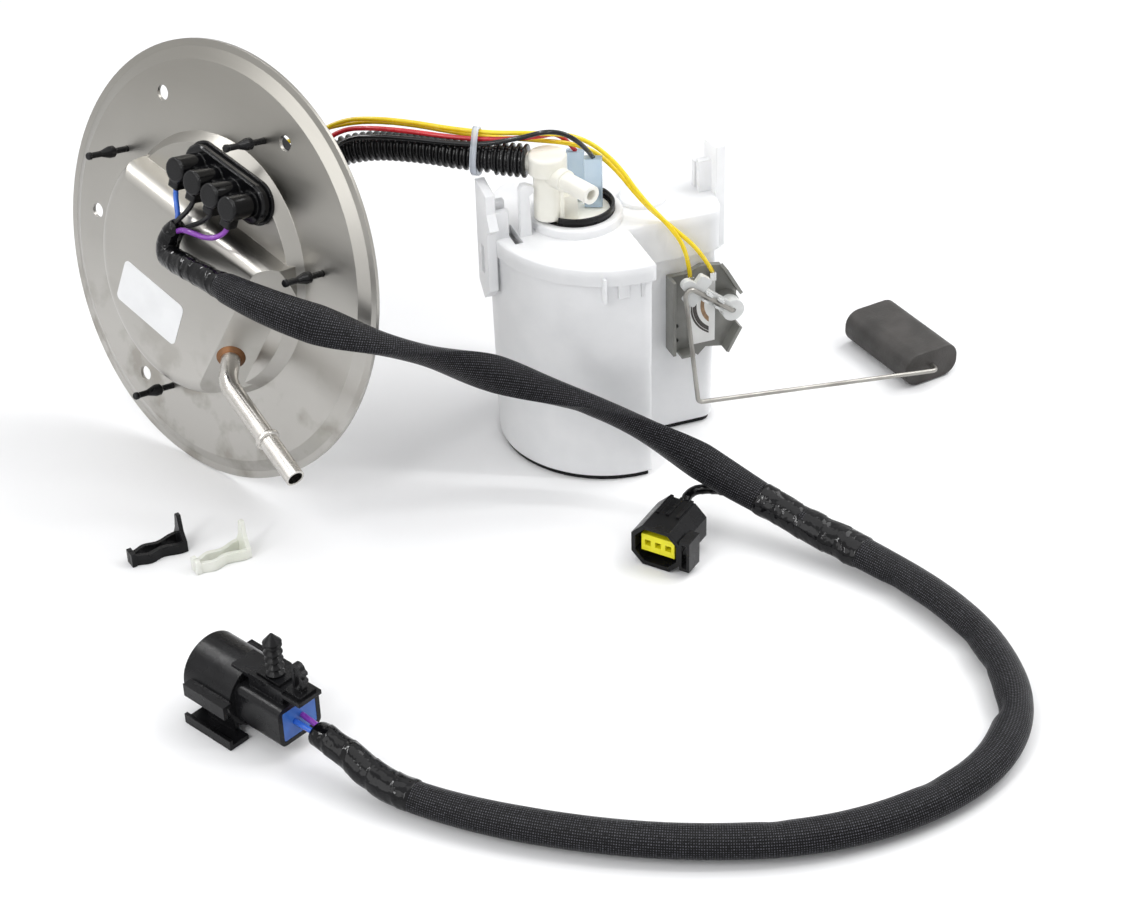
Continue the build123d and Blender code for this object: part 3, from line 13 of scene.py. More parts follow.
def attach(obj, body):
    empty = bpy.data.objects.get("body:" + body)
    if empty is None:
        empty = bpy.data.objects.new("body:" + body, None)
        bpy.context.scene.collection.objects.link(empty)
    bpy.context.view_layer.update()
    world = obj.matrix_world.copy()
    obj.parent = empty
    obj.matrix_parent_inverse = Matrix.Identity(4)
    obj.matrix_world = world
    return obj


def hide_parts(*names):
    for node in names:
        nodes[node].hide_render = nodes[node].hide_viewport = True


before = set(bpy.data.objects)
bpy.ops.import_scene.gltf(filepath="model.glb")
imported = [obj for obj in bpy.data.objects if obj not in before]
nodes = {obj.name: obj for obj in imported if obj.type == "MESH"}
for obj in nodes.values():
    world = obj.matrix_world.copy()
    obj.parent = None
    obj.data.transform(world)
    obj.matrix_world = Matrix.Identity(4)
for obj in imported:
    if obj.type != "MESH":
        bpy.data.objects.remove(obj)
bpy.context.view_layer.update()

MM = 0.001

# %% [markdown]
# ## The camera
# A photograph is matched when the camera stands where the photographer stood and its lens
# takes in the same angle. It could be dragged into place by eye, but circles and straight
# edges of known size give the answer outright: about a metre away, looking down at 34
# degrees, through a 79 mm lens on a 36 mm wide sensor. So the camera's three directions and
# its place go straight into its matrix.

# %% Camera
across = Vector((0.9432, -0.3322, 0.0))
upward = Vector((0.1874, 0.5322, 0.8256))
roll_cos, roll_sin = 0.9996, 0.02844
camera_place = Vector((-0.3164, -0.8409, 0.5986))
cam_right = (across * roll_cos - upward * roll_sin).normalized()
cam_up = (upward * roll_cos + across * roll_sin).normalized()
cam_back = cam_right.cross(cam_up)
facing = Matrix((cam_right, cam_up, cam_back)).transposed().to_4x4()
camera_data = bpy.data.cameras.new("camera")
camera_data.lens = 79.13
camera_data.sensor_width = 36.0
camera_data.clip_start = 0.05
camera = bpy.data.objects.new("camera", camera_data)
camera.matrix_world = Matrix.Translation(camera_place) @ facing
bpy.context.scene.collection.objects.link(camera)
bpy.context.scene.camera = camera
print("camera looks along", [round(-v, 3) for v in cam_back])

# %% [markdown]
# ## A line for each cord
# Wires, hose and loom are long thin things on a bent path. A curve object with a round
# bevel would draw them, but each would be one plain pipe. Here the curve only gives the
# path: it is read back as a row of points, and the wire, hose or sleeve is worked out round
# that row afterwards. The curve itself is thrown away.


# %% Lines through points
def route_line(name, points_mm):
    """Points along a smooth open curve that the given control points pull into shape.

    Every point of the curve is a weighted mean of three neighbouring control points, and
    the curve starts and ends on the first and the last of them.
    """
    curve = bpy.data.curves.new(name + "_route", "CURVE")
    curve.dimensions = "3D"
    spline = curve.splines.new("NURBS")
    spline.points.add(len(points_mm) - 1)
    flat = [c for x, y, z in points_mm for c in (x * MM, y * MM, z * MM, 1.0)]
    spline.points.foreach_set("co", flat)
    spline.order_u = 3
    spline.use_endpoint_u = True
    spline.resolution_u = 24
    holder = bpy.data.objects.new(name + "_route", curve)
    bpy.context.scene.collection.objects.link(holder)
    bpy.context.view_layer.update()
    mesh = bpy.data.meshes.new_from_object(holder)
    line = np.empty(len(mesh.vertices) * 3)
    mesh.vertices.foreach_get("co", line)
    bpy.data.objects.remove(holder)
    bpy.data.curves.remove(curve)
    bpy.data.meshes.remove(mesh)
    return line.reshape(-1, 3)


def line_length(line):
    """Length of a line: the distances between neighbouring points, added up."""
    return float(np.linalg.norm(np.diff(line, axis=0), axis=1).sum())


ruler = route_line("ruler", [(0, 0, 0), (50, 0, 0), (100, 0, 0)])
print("a straight 100 mm route measures", round(line_length(ruler) / MM, 2), "mm")

# %% [markdown]
# ### Routes behind the flange
# A ribbed hose carries the fuel from the pump to the flange. A red and a black wire feed
# the motor, and two yellow ones come from the level sender. All were traced in the
# photograph, and their heights follow from what they join. They could be left to a cloth or
# rope simulation, but typed points stay where the photograph has them.

# %% Hose and inner wires, control points in millimetres
routes = {
    "feed_hose": [(-124.5, 43.9, 102.6), (-115.4, 46.4, 115.0), (-103.0, 51.0, 125.5),
        (-85.5, 43.5, 131.0), (-66.0, 26.0, 133.5), (-53.7, 14.3, 133.5), (-42.1, 6.5, 133.5)],
    "red_wire": [(-127.4, 36.4, 125.9), (-117.1, 42.0, 123.2), (-99.1, 49.5, 137.5),
        (-82.4, 33.0, 143.0), (-50.0, 10.7, 141.0), (-27.0, 0.0, 143.0), (-15.5, 4.5, 141.0),
        (-9.0, 6.0, 130.6)],
    "black_wire": [(-122.9, 27.1, 123.8), (-112.6, 32.7, 121.1), (-98.0, 46.0, 135.5),
        (-80.3, 30.5, 139.6), (-51.9, 8.3, 140.3), (-37.0, 0.5, 143.6), (-24.0, -11.5, 151.5),
        (-12.5, -13.0, 143.5), (-4.5, -2.5, 130.6)],
    "yellow_wire_a": [(-131.9, 45.8, 128.1), (-121.7, 51.4, 125.4), (-98.2, 52.0, 140.5),
        (-79.5, 35.5, 145.5), (-49.0, 12.2, 143.6), (-28.0, -2.0, 146.0), (-8.6, 0.6, 139.8),
        (4.2, -4.8, 128.5), (11.8, -16.0, 114.5), (20.0, -23.3, 105.0), (27.8, -24.8, 92.0),
        (30.7, -21.1, 77.0)],
    "yellow_wire_b": [(-136.5, 55.1, 130.2), (-126.2, 60.7, 127.5), (-96.9, 55.0, 137.0),
        (-78.0, 39.0, 142.5), (-48.0, 13.9, 141.0), (-30.0, 4.0, 140.8), (-6.8, 1.8, 134.9),
        (4.4, -1.2, 124.8), (12.6, -13.4, 111.9), (21.0, -21.1, 103.6), (34.5, -23.5, 89.5),
        (40.7, -21.1, 77.0)],
}
print("control points:", {name: len(points) for name, points in routes.items()})

# %% [markdown]
# ### Routes of the short outer wires
# Four short wires leave the connector on the flange's face, fold down side by side and
# run into the loom. They cross each other within a few millimetres, so each has its own
# points in place of a copied neighbour.

# %% Short wires, control points in millimetres
routes |= {
    "pigtail_blue": [(-166.9, 40.5, 129.8), (-167.9, 40.7, 126.4), (-168.7, 33.2, 117.8),
        (-173.9, 37.7, 109.8), (-174.8, 32.8, 102.8), (-172.4, 25.2, 103.4),
        (-170.1, 19.2, 103.7)],
    "pigtail_black_a": [(-162.3, 31.1, 127.6), (-163.4, 31.4, 124.3), (-170.8, 31.9, 118.4),
        (-175.9, 36.5, 110.7), (-177.1, 32.2, 103.7), (-174.7, 24.5, 103.9),
        (-172.4, 18.4, 104.3)],
    "pigtail_black_b": [(-157.8, 21.8, 125.5), (-158.8, 22.1, 122.2), (-168.0, 30.9, 115.9),
        (-172.5, 34.9, 109.4), (-173.6, 31.7, 105.4), (-171.8, 25.7, 106.4),
        (-169.6, 19.6, 106.7)],
    "pigtail_purple": [(-153.3, 12.5, 123.3), (-154.3, 12.7, 120.0), (-160.8, 15.6, 117.0),
        (-168.0, 21.4, 119.5), (-170.1, 29.6, 116.5), (-174.5, 33.8, 110.3),
        (-175.8, 31.1, 106.3), (-174.2, 24.9, 106.9), (-171.9, 18.8, 107.3)],
}
print("routes so far:", len(routes))

# %% [markdown]
# ### Routes of the loom
# The loom leaves the flange's face, crosses in front of the reservoir and loops over the
# bench to its round connector, with a short branch on the way. Two or three arcs would look
# drawn with a compass. Typed points keep the uneven way in which it was laid, and on the
# bench a point's height is simply the loom's own half thickness.

# %% Loom, control points in millimetres
routes |= {
    "harness_trunk": [(-171.0, 19.0, 105.5), (-161.0, -7.5, 107.0), (-139.5, -33.0, 102.5),
        (-105.5, -48.5, 90.5), (-64.5, -46.5, 67.5), (-23.0, -54.0, 46.0), (5.0, -74.0, 30.0),
        (24.0, -93.5, 18.5), (40.5, -117.0, 12.0), (58.0, -143.0, 8.0), (72.0, -173.0, 6.8),
        (77.0, -207.0, 6.7), (69.5, -242.5, 6.7), (45.0, -268.5, 6.7), (8.0, -279.5, 6.7),
        (-31.0, -278.5, 6.7), (-70.0, -265.5, 6.7), (-104.0, -247.5, 6.7), (-136.5, -224.0, 6.7),
        (-160.5, -199.5, 7.0), (-171.4, -178.8, 14.0), (-180.8, -161.2, 14.0)],
    "branch_trunk": [(17.5, -89.5, 16.0), (13.5, -80.0, 13.0), (4.0, -78.5, 10.5),
        (-3.1, -93.4, 9.5)],
}
lines = {name: route_line(name, points) for name, points in routes.items()}
for name, line in lines.items():
    print(name, "is", round(line_length(line) / MM), "mm long")

# %% [markdown]
# ## Even steps and directions
# The rows of a skin should be evenly spaced, or ribs and weave would bunch up in the
# bends. Each row also has to know which way is sideways and which is up. Blender's curves
# carry such a twist of their own, but it can spin unseen. Taking up from the world keeps
# every section level, and a twist is then added only where it is wanted.


# %% Even steps and directions
WORLD_UP = np.array([0.0, 0.0, 1.0])


def even_line(line, step):
    """The line with points a set step apart, and each point's distance from the start.

    The gaps are added up along the old points, and each coordinate is then read off at
    evenly spaced distances.
    """
    gaps = np.linalg.norm(np.diff(line, axis=0), axis=1)
    along = np.concatenate([[0.0], np.cumsum(gaps)])
    count = max(int(round(along[-1] / step)), 2)
    places = np.linspace(0.0, along[-1], count + 1)
    even = np.stack([np.interp(places, along, line[:, k]) for k in range(3)], axis=1)
    return even, places


def line_frames(line):
    """Side and top at each point of a line.

    Side is the way ahead crossed with the world's up, so it lies level. Top is side crossed
    with the way ahead, so it stands square to both.
    """
    ahead = np.gradient(line, axis=0)
    ahead /= np.linalg.norm(ahead, axis=1, keepdims=True)
    side = np.cross(ahead, WORLD_UP)
    side /= np.linalg.norm(side, axis=1, keepdims=True)
    return side, np.cross(side, ahead)


ruler, ruler_places = even_line(ruler, 10 * MM)
print(len(ruler), "points, length", ruler_places[-1], "side", line_frames(ruler)[0][0])

# %% [markdown]
# ## A skin from a grid
# A skin is a grid of points: rows along the piece and columns round it. A Skin or Screw
# modifier could stretch one over the line, but a grid filled with numbers can be ribbed,
# pressed flat, creased and twisted at will. Four-sided faces join neighbouring rows, with
# their corners in the order that makes them look outwards.


# %% Skin from a grid
def grid_faces(rows, cols, close_along=False):
    """Corner numbers of a skin's faces, where a point's number is row * cols + column.

    A side face has the corners (row, next column), (row, column), (next row, column) and
    (next row, next column), and columns wrap round. The two ends get a cap each, or rows
    wrap round too where the piece is a ring.
    """
    r = np.arange(rows if close_along else rows - 1)[:, None]
    after = (r + 1) % rows
    c = np.arange(cols)[None, :]
    d = (c + 1) % cols
    quads = np.stack([r * cols + d, r * cols + c, after * cols + c, after * cols + d], axis=-1)
    faces = quads.reshape(-1, 4).tolist()
    if not close_along:
        faces.append(list(range(cols)))
        faces.append(list(range((rows - 1) * cols, rows * cols))[::-1])
    return faces


def surface_mesh(name, grid, close_along=False):
    """A closed smooth piece from a grid of points: rows along it, columns round it."""
    mesh = bpy.data.meshes.new(name)
    faces = grid_faces(*grid.shape[:2], close_along)
    mesh.from_pydata(grid.reshape(-1, 3).tolist(), [], faces)
    mesh.update()
    mesh.polygons.foreach_set("use_smooth", [True] * len(mesh.polygons))
    piece = bpy.data.objects.new(name, mesh)
    bpy.context.scene.collection.objects.link(piece)
    return piece


print("faces of a skin with 2 rows and 4 columns:", grid_faces(2, 4))

# %% [markdown]
# ### A map along the skin
# The weave has to follow the sleeve wherever it bends, so it can't come from fixed
# directions in space. Unwrapping by hand would cut the tube open and lay it flat. The grid
# knows that flat sheet already: its rows are distances and its columns parts of a turn.


# %% Map along a skin
def add_uv(piece, distances, cols):
    """Lays a flat map on a tube: U is the metres along it, V the share of a turn round it.

    V is the column over the number of columns, but one in place of nought at the far
    corners of each row's last face, so that the pattern closes there.
    """
    mesh = piece.data
    corner_vertex = np.empty(len(mesh.loops), dtype=np.int64)
    mesh.loops.foreach_get("vertex_index", corner_vertex)
    row, col = corner_vertex // cols, corner_vertex % cols
    corner = np.arange(len(corner_vertex))
    on_side = corner < (len(distances) - 1) * cols * 4
    closing = on_side & (((corner // 4) % cols) == cols - 1) & (col == 0)
    v = np.where(closing, 1.0, col / cols)
    layer = mesh.uv_layers.new(name="along")
    layer.data.foreach_set("uv", np.stack([np.asarray(distances)[row], v], axis=1).ravel())


print("helpers:", [f.__name__ for f in (surface_mesh, add_uv)])

# %% [markdown]
# ### Sections round a line
# A wire's section is round, a woven sleeve's is a tube of cloth pressed flat, and it turns
# over where the loom twists. One formula covers both, with a half width and a half
# thickness for each row. Sculpted creases would be lost at the next change of route, so
# each crease is a soft dent with a place, an angle, a depth and a reach.


# %% Tube round a line
CREASE_SPREAD = 0.8


def round_line(line, x, y, lean):
    """Grid of points round a line: each section's x and y turned by lean radians.

    A point is line + side * (x cos lean - y sin lean) + top * (x sin lean + y cos lean).
    """
    side, top = line_frames(line)
    u = x * np.cos(lean) - y * np.sin(lean)
    v = x * np.sin(lean) + y * np.cos(lean)
    return line[:, None, :] + u[..., None] * side[:, None, :] + v[..., None] * top[:, None, :]


def tube(name, line, wide, thick=None, lean=0.0, sides=16, flat=0.0, creases=()):
    """Skin round a line, with half sizes wide and thick, the same all along or one per row.

    At angle a, x is wide * cos a and y is thick * sin a * |sin a| ** flat: an ellipse where
    flat is nought, with sharper edges as it rises. A crease (place, angle, depth, reach)
    takes depth * exp(-(distance / reach) ** 2 - (turn / CREASE_SPREAD) ** 2) off both.
    """
    count = len(line)
    wide = np.broadcast_to(wide, count)[:, None]
    thick = wide if thick is None else np.broadcast_to(thick, count)[:, None]
    lean = np.broadcast_to(lean, count)[:, None]
    flat = np.broadcast_to(flat, count)[:, None]
    angle = np.linspace(0.0, 2 * np.pi, sides, endpoint=False)[None, :]
    gaps = np.linalg.norm(np.diff(line, axis=0), axis=1)
    along = np.concatenate([[0.0], np.cumsum(gaps)])[:, None]
    left = np.ones((count, sides))
    for place, where, depth, reach in creases:
        turn = np.angle(np.exp(1j * (angle - where)))
        left -= depth * np.exp(-((along - place) / reach) ** 2 - (turn / CREASE_SPREAD) ** 2)
    x = wide * np.cos(angle) * left
    y = thick * np.sin(angle) * np.maximum(np.abs(np.sin(angle)), 1e-6) ** flat * left
    return surface_mesh(name, round_line(line, x, y, lean))


print("a crease fades to a third of its depth", round(np.degrees(CREASE_SPREAD)), "degrees away")

# %% [markdown]
# ### Wires
# Each wire is copper in a smooth soft coat, about two millimetres thick. A curve's round
# bevel would do for these. The tube is used all the same, because it lays a map along
# the wire and puts its ends exactly on the path's ends.

# %% Wires
WIRE_STEP = 1.2 * MM
WIRE_SIDES = 12
wire_sizes = {"red_wire": 2.0, "black_wire": 2.0, "yellow_wire_a": 1.9, "yellow_wire_b": 1.9,
              "pigtail_blue": 2.2, "pigtail_black_a": 2.2, "pigtail_black_b": 2.2,
              "pigtail_purple": 2.2}
pieces = {}
for name, size in wire_sizes.items():
    line, places = even_line(lines[name], WIRE_STEP)
    piece = tube(name + "_skin", line, size / 2 * MM, sides=WIRE_SIDES)
    add_uv(piece, places, WIRE_SIDES)
    pieces[name] = piece
    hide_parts(name)
    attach(piece, "module")
print("wires:", len(pieces))

# %% [markdown]
# ### Ribbed hose
# The hose is blow moulded with rounded rings about three millimetres apart, so that it
# bends without kinking. One ring could be repeated by an Array and bent by a Curve
# modifier. Here the tube's radius simply rises and falls along the line, which keeps the
# pitch even in every bend and lets the rings fade out at the hose's end.

# %% Hose
HOSE_STEP = 0.25 * MM
HOSE_SIDES = 40
RIB_PITCH = 2.9 * MM
HOSE_VALLEY, HOSE_RIB = 4.9, 1.3
RIB_FADE = 3 * MM


def rib_height(distances):
    """Nought in a valley and one on a ring: half plus 0.8 cosine, cut off at nought and one."""
    return np.clip(0.5 + 0.8 * np.cos(2 * np.pi * distances / RIB_PITCH), 0.0, 1.0)


hose_line, hose_places = even_line(lines["feed_hose"], HOSE_STEP)
near_end = np.clip((hose_places[-1] - hose_places) / RIB_FADE, 0.0, 1.0)
hose_radius = (HOSE_VALLEY + HOSE_RIB * rib_height(hose_places) * near_end) * MM
hose = tube("feed_hose_skin", hose_line, hose_radius, sides=HOSE_SIDES)
add_uv(hose, hose_places, HOSE_SIDES)
pieces["feed_hose"] = hose
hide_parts("feed_hose")
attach(hose, "module")
print("rings on the hose:", int(hose_places[-1] / RIB_PITCH))

# %% [markdown]
# ### The hose's end on the pump
# The last stretch is pushed over the pump's nozzle, which stretches it a little wider.
# It could be part of the hose, but it is straight and has its own width, so it is a short
# second tube with the same ribs.

# %% Hose end
cuff_ends = np.array([(-42.1, 6.5, 133.5), (-31.9, -0.35, 133.5)]) * MM
CUFF_VALLEY, CUFF_RIB = 5.5, 1.4
cuff_line, cuff_places = even_line(cuff_ends, HOSE_STEP)
cuff_radius = (CUFF_VALLEY + CUFF_RIB * rib_height(cuff_places)) * MM
cuff = tube("hose_cuff_skin", cuff_line, cuff_radius, sides=HOSE_SIDES)
add_uv(cuff, cuff_places, HOSE_SIDES)
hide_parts("hose_cuff")
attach(cuff, "module")
print("rings on the hose end:", int(cuff_places[-1] / RIB_PITCH))

# %% [markdown]
# ### Cable tie
# A thin clear strap goes once round the hose and the wires above it, so its loop is taller
# than it is wide. A bent torus would have a round section. A flat one is carried round
# the loop instead, and its last row is joined to its first.

# %% Cable tie
TIE_STEPS = 72
TIE_HALF_WIDTH, TIE_THICKNESS = 1.3, 0.9
tie_place = np.array([-49.1, 11.3, 133.5])
along = (cuff_line[-1] - cuff_line[0]) / np.linalg.norm(cuff_line[-1] - cuff_line[0])
level = np.cross(along, WORLD_UP)
turn = np.linspace(0.0, 2 * np.pi, TIE_STEPS, endpoint=False)
bottom_middle_top = [-1.0, 0.0, 1.0]
loop_half = np.interp(np.sin(turn), bottom_middle_top, [7.0, 7.2, 5.2])
loop_rise = np.interp(np.sin(turn), bottom_middle_top, [7.0, 7.0, 12.4])
ring = (np.cos(turn) * loop_half)[:, None] * level + (np.sin(turn) * loop_rise)[:, None] * WORLD_UP
outward = ring / np.linalg.norm(ring, axis=1, keepdims=True)
strap_along = np.array([-1.0, 1.0, 1.0, -1.0]) * TIE_HALF_WIDTH
strap_out = np.array([0.0, 0.0, 1.0, 1.0]) * TIE_THICKNESS
band = (tie_place + ring[:, None, :] + strap_along[None, :, None] * along
        + strap_out[None, :, None] * outward[:, None, :])
tie = surface_mesh("cable_tie_skin", band * MM, close_along=True)
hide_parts("cable_tie")
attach(tie, "module")
print("tie points:", band.shape[:2])

# %% [markdown]
# ### Standing lip of the pump's seal ring
# The ring of soft rubber round the pump has a thin lip that stands above its collar. A
# Solidify modifier on a strip could make it. Turning a six-cornered profile about the
# pump's axis gives its rounded edge at once, and the sweep stops short of a full turn.

# %% Seal lip
LIP_STEPS = 160
lip_from, lip_to = np.radians(-136), np.radians(216)
lip_centre = np.array([-12.0, -1.0, 0.0])
lip_radii = np.array([15.0, 16.2, 16.3, 15.9, 15.4, 15.0])
lip_heights = np.array([108.2, 108.2, 110.9, 111.4, 111.4, 110.9])
sweep = np.linspace(lip_from, lip_to, LIP_STEPS)
spoke = np.stack([np.cos(sweep), np.sin(sweep), np.zeros_like(sweep)], axis=1)
lip_grid = lip_radii[None, :, None] * spoke[:, None, :] + lip_heights[None, :, None] * WORLD_UP
lip = surface_mesh("seal_lip", (lip_grid + lip_centre) * MM)
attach(lip, "module")
print("lip points:", lip_grid.shape[:2])

# %% [markdown]
# ### Shape of the loom's sleeve
# The sleeve is a woven tube over the wires. It is wider than it is thick, rolls over where
# the loom turns, and is creased on the bench. A Lattice or proportional editing could
# press a plain pipe into that shape. A table along its length is easier to correct: each
# row gives a distance, half width, half thickness, roll and how far it is pressed flat.

# %% Loom table
LOOM_STEP = 1.5 * MM
loom_table = np.array([
    (0, 4.7, 4.5, -1.0, 0.0), (22, 5.0, 4.7, -1.0, 0.0), (27, 6.2, 5.4, -1.0, 0.1),
    (45, 7.2, 4.8, -1.0, 0.3), (68, 8.0, 4.4, -0.9, 0.5), (112, 7.0, 4.2, 0.6, 0.6),
    (148, 7.6, 4.6, 2.1, 0.5), (197, 7.0, 4.4, 3.75, 0.7), (240, 7.8, 4.6, 5.2, 0.5),
    (268, 6.6, 5.4, 5.6, 0.2), (285, 6.2, 5.8, 5.8, 0.0), (310, 7.2, 5.6, 6.1, 0.1),
    (345, 7.3, 5.3, 6.3, 0.2), (420, 7.2, 5.5, 6.4, 0.2), (500, 7.1, 5.4, 6.5, 0.2),
    (580, 7.2, 5.5, 6.4, 0.2), (640, 7.3, 5.6, 6.3, 0.2), (690, 6.0, 5.4, 6.3, 0.1),
    (725, 4.6, 4.4, 6.3, 0.0)])
stations, half_wide, half_thick, roll_over, pressed = loom_table.T
trunk_line, trunk_places = even_line(lines["harness_trunk"], LOOM_STEP)
wide = np.interp(trunk_places, stations * MM, half_wide) * MM
thick = np.interp(trunk_places, stations * MM, half_thick) * MM
lean = np.interp(trunk_places, stations * MM, roll_over)
flat = np.interp(trunk_places, stations * MM, pressed)
total = trunk_places[-1]
print("loom:", round(total / MM), "mm, widest", round(2 * wide.max() / MM, 1), "mm")

# %% [markdown]
# ### Loom sleeve
# Noise could dent the sleeve too, but not where the real one is creased. So each crease
# was read off the photograph: distance, angle round the sleeve, share of the radius lost,
# and reach. The sleeve stops a little before the round connector, where bare wires show.

# %% Loom sleeve
LOOM_SIDES = 56
BARE_END = 9 * MM
creases = [(336 * MM, 0.1, 0.20, 4 * MM), (380 * MM, 0.3, 0.32, 5 * MM),
           (400 * MM, 0.0, 0.15, 4 * MM), (428 * MM, 0.2, 0.36, 6 * MM),
           (445 * MM, 1.2, -0.06, 7 * MM), (486 * MM, 0.9, 0.12, 5 * MM),
           (548 * MM, 1.0, 0.08, 4 * MM), (186 * MM, 2.6, 0.16, 5 * MM)]
kept = trunk_places <= total - BARE_END
trunk = tube("harness_trunk_skin", trunk_line[kept], wide[kept], thick[kept], lean[kept],
             sides=LOOM_SIDES, flat=flat[kept], creases=creases)
add_uv(trunk, trunk_places[kept], LOOM_SIDES)
pieces["harness_trunk"] = trunk
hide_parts("harness_trunk")
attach(trunk, "module")
print("sleeve rows:", int(kept.sum()), "creases:", len(creases))

# %% [markdown]
# ### Bare wires at the round connector
# Three wires come out of the sleeve and spread into the connector's back. They could have
# routes of their own, but shifting the loom's last stretch sideways keeps them inside the
# sleeve where it starts and apart where it ends.

# %% Wires at the connector
TAIL_LENGTH = 22 * MM
TAIL_STEP = 0.8 * MM
TAIL_RADIUS = 1.1 * MM
SPREAD_AT_START = 0.55
lanes = {"plug_wire_a": (-2.4, 1.6), "plug_wire_b": (1.2, 2.4), "plug_wire_c": (0.4, -2.2)}
plug_wires = []
for name, (sideways, upwards) in lanes.items():
    tail = trunk_line[trunk_places >= total - TAIL_LENGTH]
    side, top = line_frames(tail)
    spread = np.linspace(SPREAD_AT_START, 1.0, len(tail))[:, None]
    tail, places = even_line(tail + (side * sideways + top * upwards) * MM * spread, TAIL_STEP)
    wire = tube(name, tail, TAIL_RADIUS, sides=WIRE_SIDES)
    add_uv(wire, places, WIRE_SIDES)
    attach(wire, "module")
    plug_wires.append(wire)

# %% [markdown]
# ### Branch to the three-way connector
# A thin taped branch comes out from under the loom. Cutting a hole for it in the sleeve
# would show nowhere, so its closed tube simply starts inside. It bends within twice its own
# width, and therefore gets shorter steps than the wires.

# %% Branch
BRANCH_SIDES = 16
branch_line, branch_places = even_line(lines["branch_trunk"], TAIL_STEP)
branch = tube("branch_trunk_skin", branch_line, 1.9 * MM, sides=BRANCH_SIDES)
add_uv(branch, branch_places, BRANCH_SIDES)
pieces["branch_trunk"] = branch
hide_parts("branch_trunk")
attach(branch, "module")
print("branch:", round(line_length(branch_line) / MM), "mm")

# %% [markdown]
# ### Tape
# Glossy tape is wound in a spiral, each turn half over the last, so its surface climbs to
# a small step at every turn and is pinched here and there. A flat strip could be wound by
# a Screw modifier, but its layers would cut into each other. One closed skin a little outside
# the sleeve, with the step as a saw-tooth round the spiral, shows the same edges.


# %% Tape winding
TAPE_STEP = 0.6 * MM
EDGE_RAMP = 0.9 * MM
EDGE_SINK = 0.25 * MM
LAP_BASE, LAP_STEP = 0.55, 0.75
PINCH, PINCH_LENGTH, PINCH_DRIFT = 0.035, 3.1 * MM, 7 * MM


def winding(name, line, places, wide, thick, lean, start, end, sides=48, turn=11 * MM,
            lift=0.35 * MM):
    """Tape between two distances along a line, with half sizes wide and thick below it.

    With p the share of a turn from the last overlap, the tape lies lift * (LAP_BASE +
    LAP_STEP * p cubed) outside the half sizes, which swing by the share PINCH in a wave
    along it. Over the last EDGE_RAMP at each end it sinks EDGE_SINK under the surface below.
    """
    keep = (places >= start) & (places <= end)
    seg, s = even_line(line[keep], TAPE_STEP)
    read_at = s + places[keep][0]
    w, t, q = (np.interp(read_at, places, np.broadcast_to(size, len(places)))[:, None]
               for size in (wide, thick, lean))
    s = s[:, None]
    angle = np.linspace(0.0, 2 * np.pi, sides, endpoint=False)[None, :]
    spiral = (s / turn + angle / (2 * np.pi)) % 1.0
    step = lift * (LAP_BASE + LAP_STEP * spiral ** 3)
    pinch = 1.0 + PINCH * np.sin(s / PINCH_LENGTH + 2.0 * np.sin(angle + s / PINCH_DRIFT))
    edge = np.minimum(np.minimum(s, s[-1] - s) / EDGE_RAMP, 1.0)
    grow = step * edge - EDGE_SINK * (1.0 - edge)
    x = (w * pinch + grow) * np.cos(angle)
    y = (t * pinch + grow) * np.sin(angle)
    piece = surface_mesh(name, round_line(seg, x, y, q))
    add_uv(piece, s[:, 0], sides)
    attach(piece, "module")
    return piece


print("a winding sinks", EDGE_SINK / MM, "mm at its ends")

# %% [markdown]
# ### The five windings
# The short wires are taped together where they fold into the loom, and the loom at the
# flange, at the branch, and before the round connector. The branch has tape of its own.
# Over the fold there is no sleeve to wind on, so its path and its width are given here.

# %% The five windings
fold_points = [(-169.4, 31.4, 117.2), (-174.2, 35.8, 110.1), (-175.3, 32.0, 104.6),
               (-173.3, 25.1, 105.2), (-171.0, 19.0, 105.5), (-161.0, -7.5, 107.0)]
fold_line, fold_places = even_line(route_line("taped_fold", fold_points), TAPE_STEP)
fold_stations = np.array([0, 4, 12, 30, 40]) * MM
fold_size = np.interp(fold_places, fold_stations, [3.4, 4.1, 4.5, 4.7, 4.8]) * MM
loom = (trunk_line, trunk_places, wide, thick, lean)
tapes = [
    winding("tape_fold", fold_line, fold_places, fold_size, fold_size, 0.0, 0.0, 33 * MM,
            turn=8 * MM),
    winding("tape_flange", *loom, 0.0, 25 * MM),
    winding("tape_junction", *loom, 268 * MM, 318 * MM),
    winding("tape_connector", *loom, 676 * MM, total - 8.5 * MM),
    winding("tape_branch", branch_line, branch_places, 1.95 * MM, 1.95 * MM, 0.0, 0.0,
            26 * MM, sides=24, turn=5 * MM, lift=0.25 * MM),
]
print("tape windings:", [piece.name for piece in tapes])

# %% [markdown]
# ## Materials
# Nothing real is one flat colour. Photographs of surfaces could be wrapped on, but they
# bring seams and files. Noise worked out in each piece's own space needs neither, so each
# finish is mixed from it: two close tones, a gloss that wanders, and a fine grain as bump.


# %% Material helpers: a shader, noise and ranges
def new_material(name):
    """An empty material with its shader and output, and short-cuts to add and join nodes."""
    material = bpy.data.materials.new(name)
    material.use_nodes = True
    tree = material.node_tree
    tree.nodes.clear()
    output = tree.nodes.new("ShaderNodeOutputMaterial")
    shader = tree.nodes.new("ShaderNodeBsdfPrincipled")
    tree.links.new(shader.outputs["BSDF"], output.inputs["Surface"])
    return material, tree, shader


def object_space(tree):
    """Coordinates in metres that belong to the piece, so a pattern moves along with it."""
    return tree.nodes.new("ShaderNodeTexCoord").outputs["Object"]


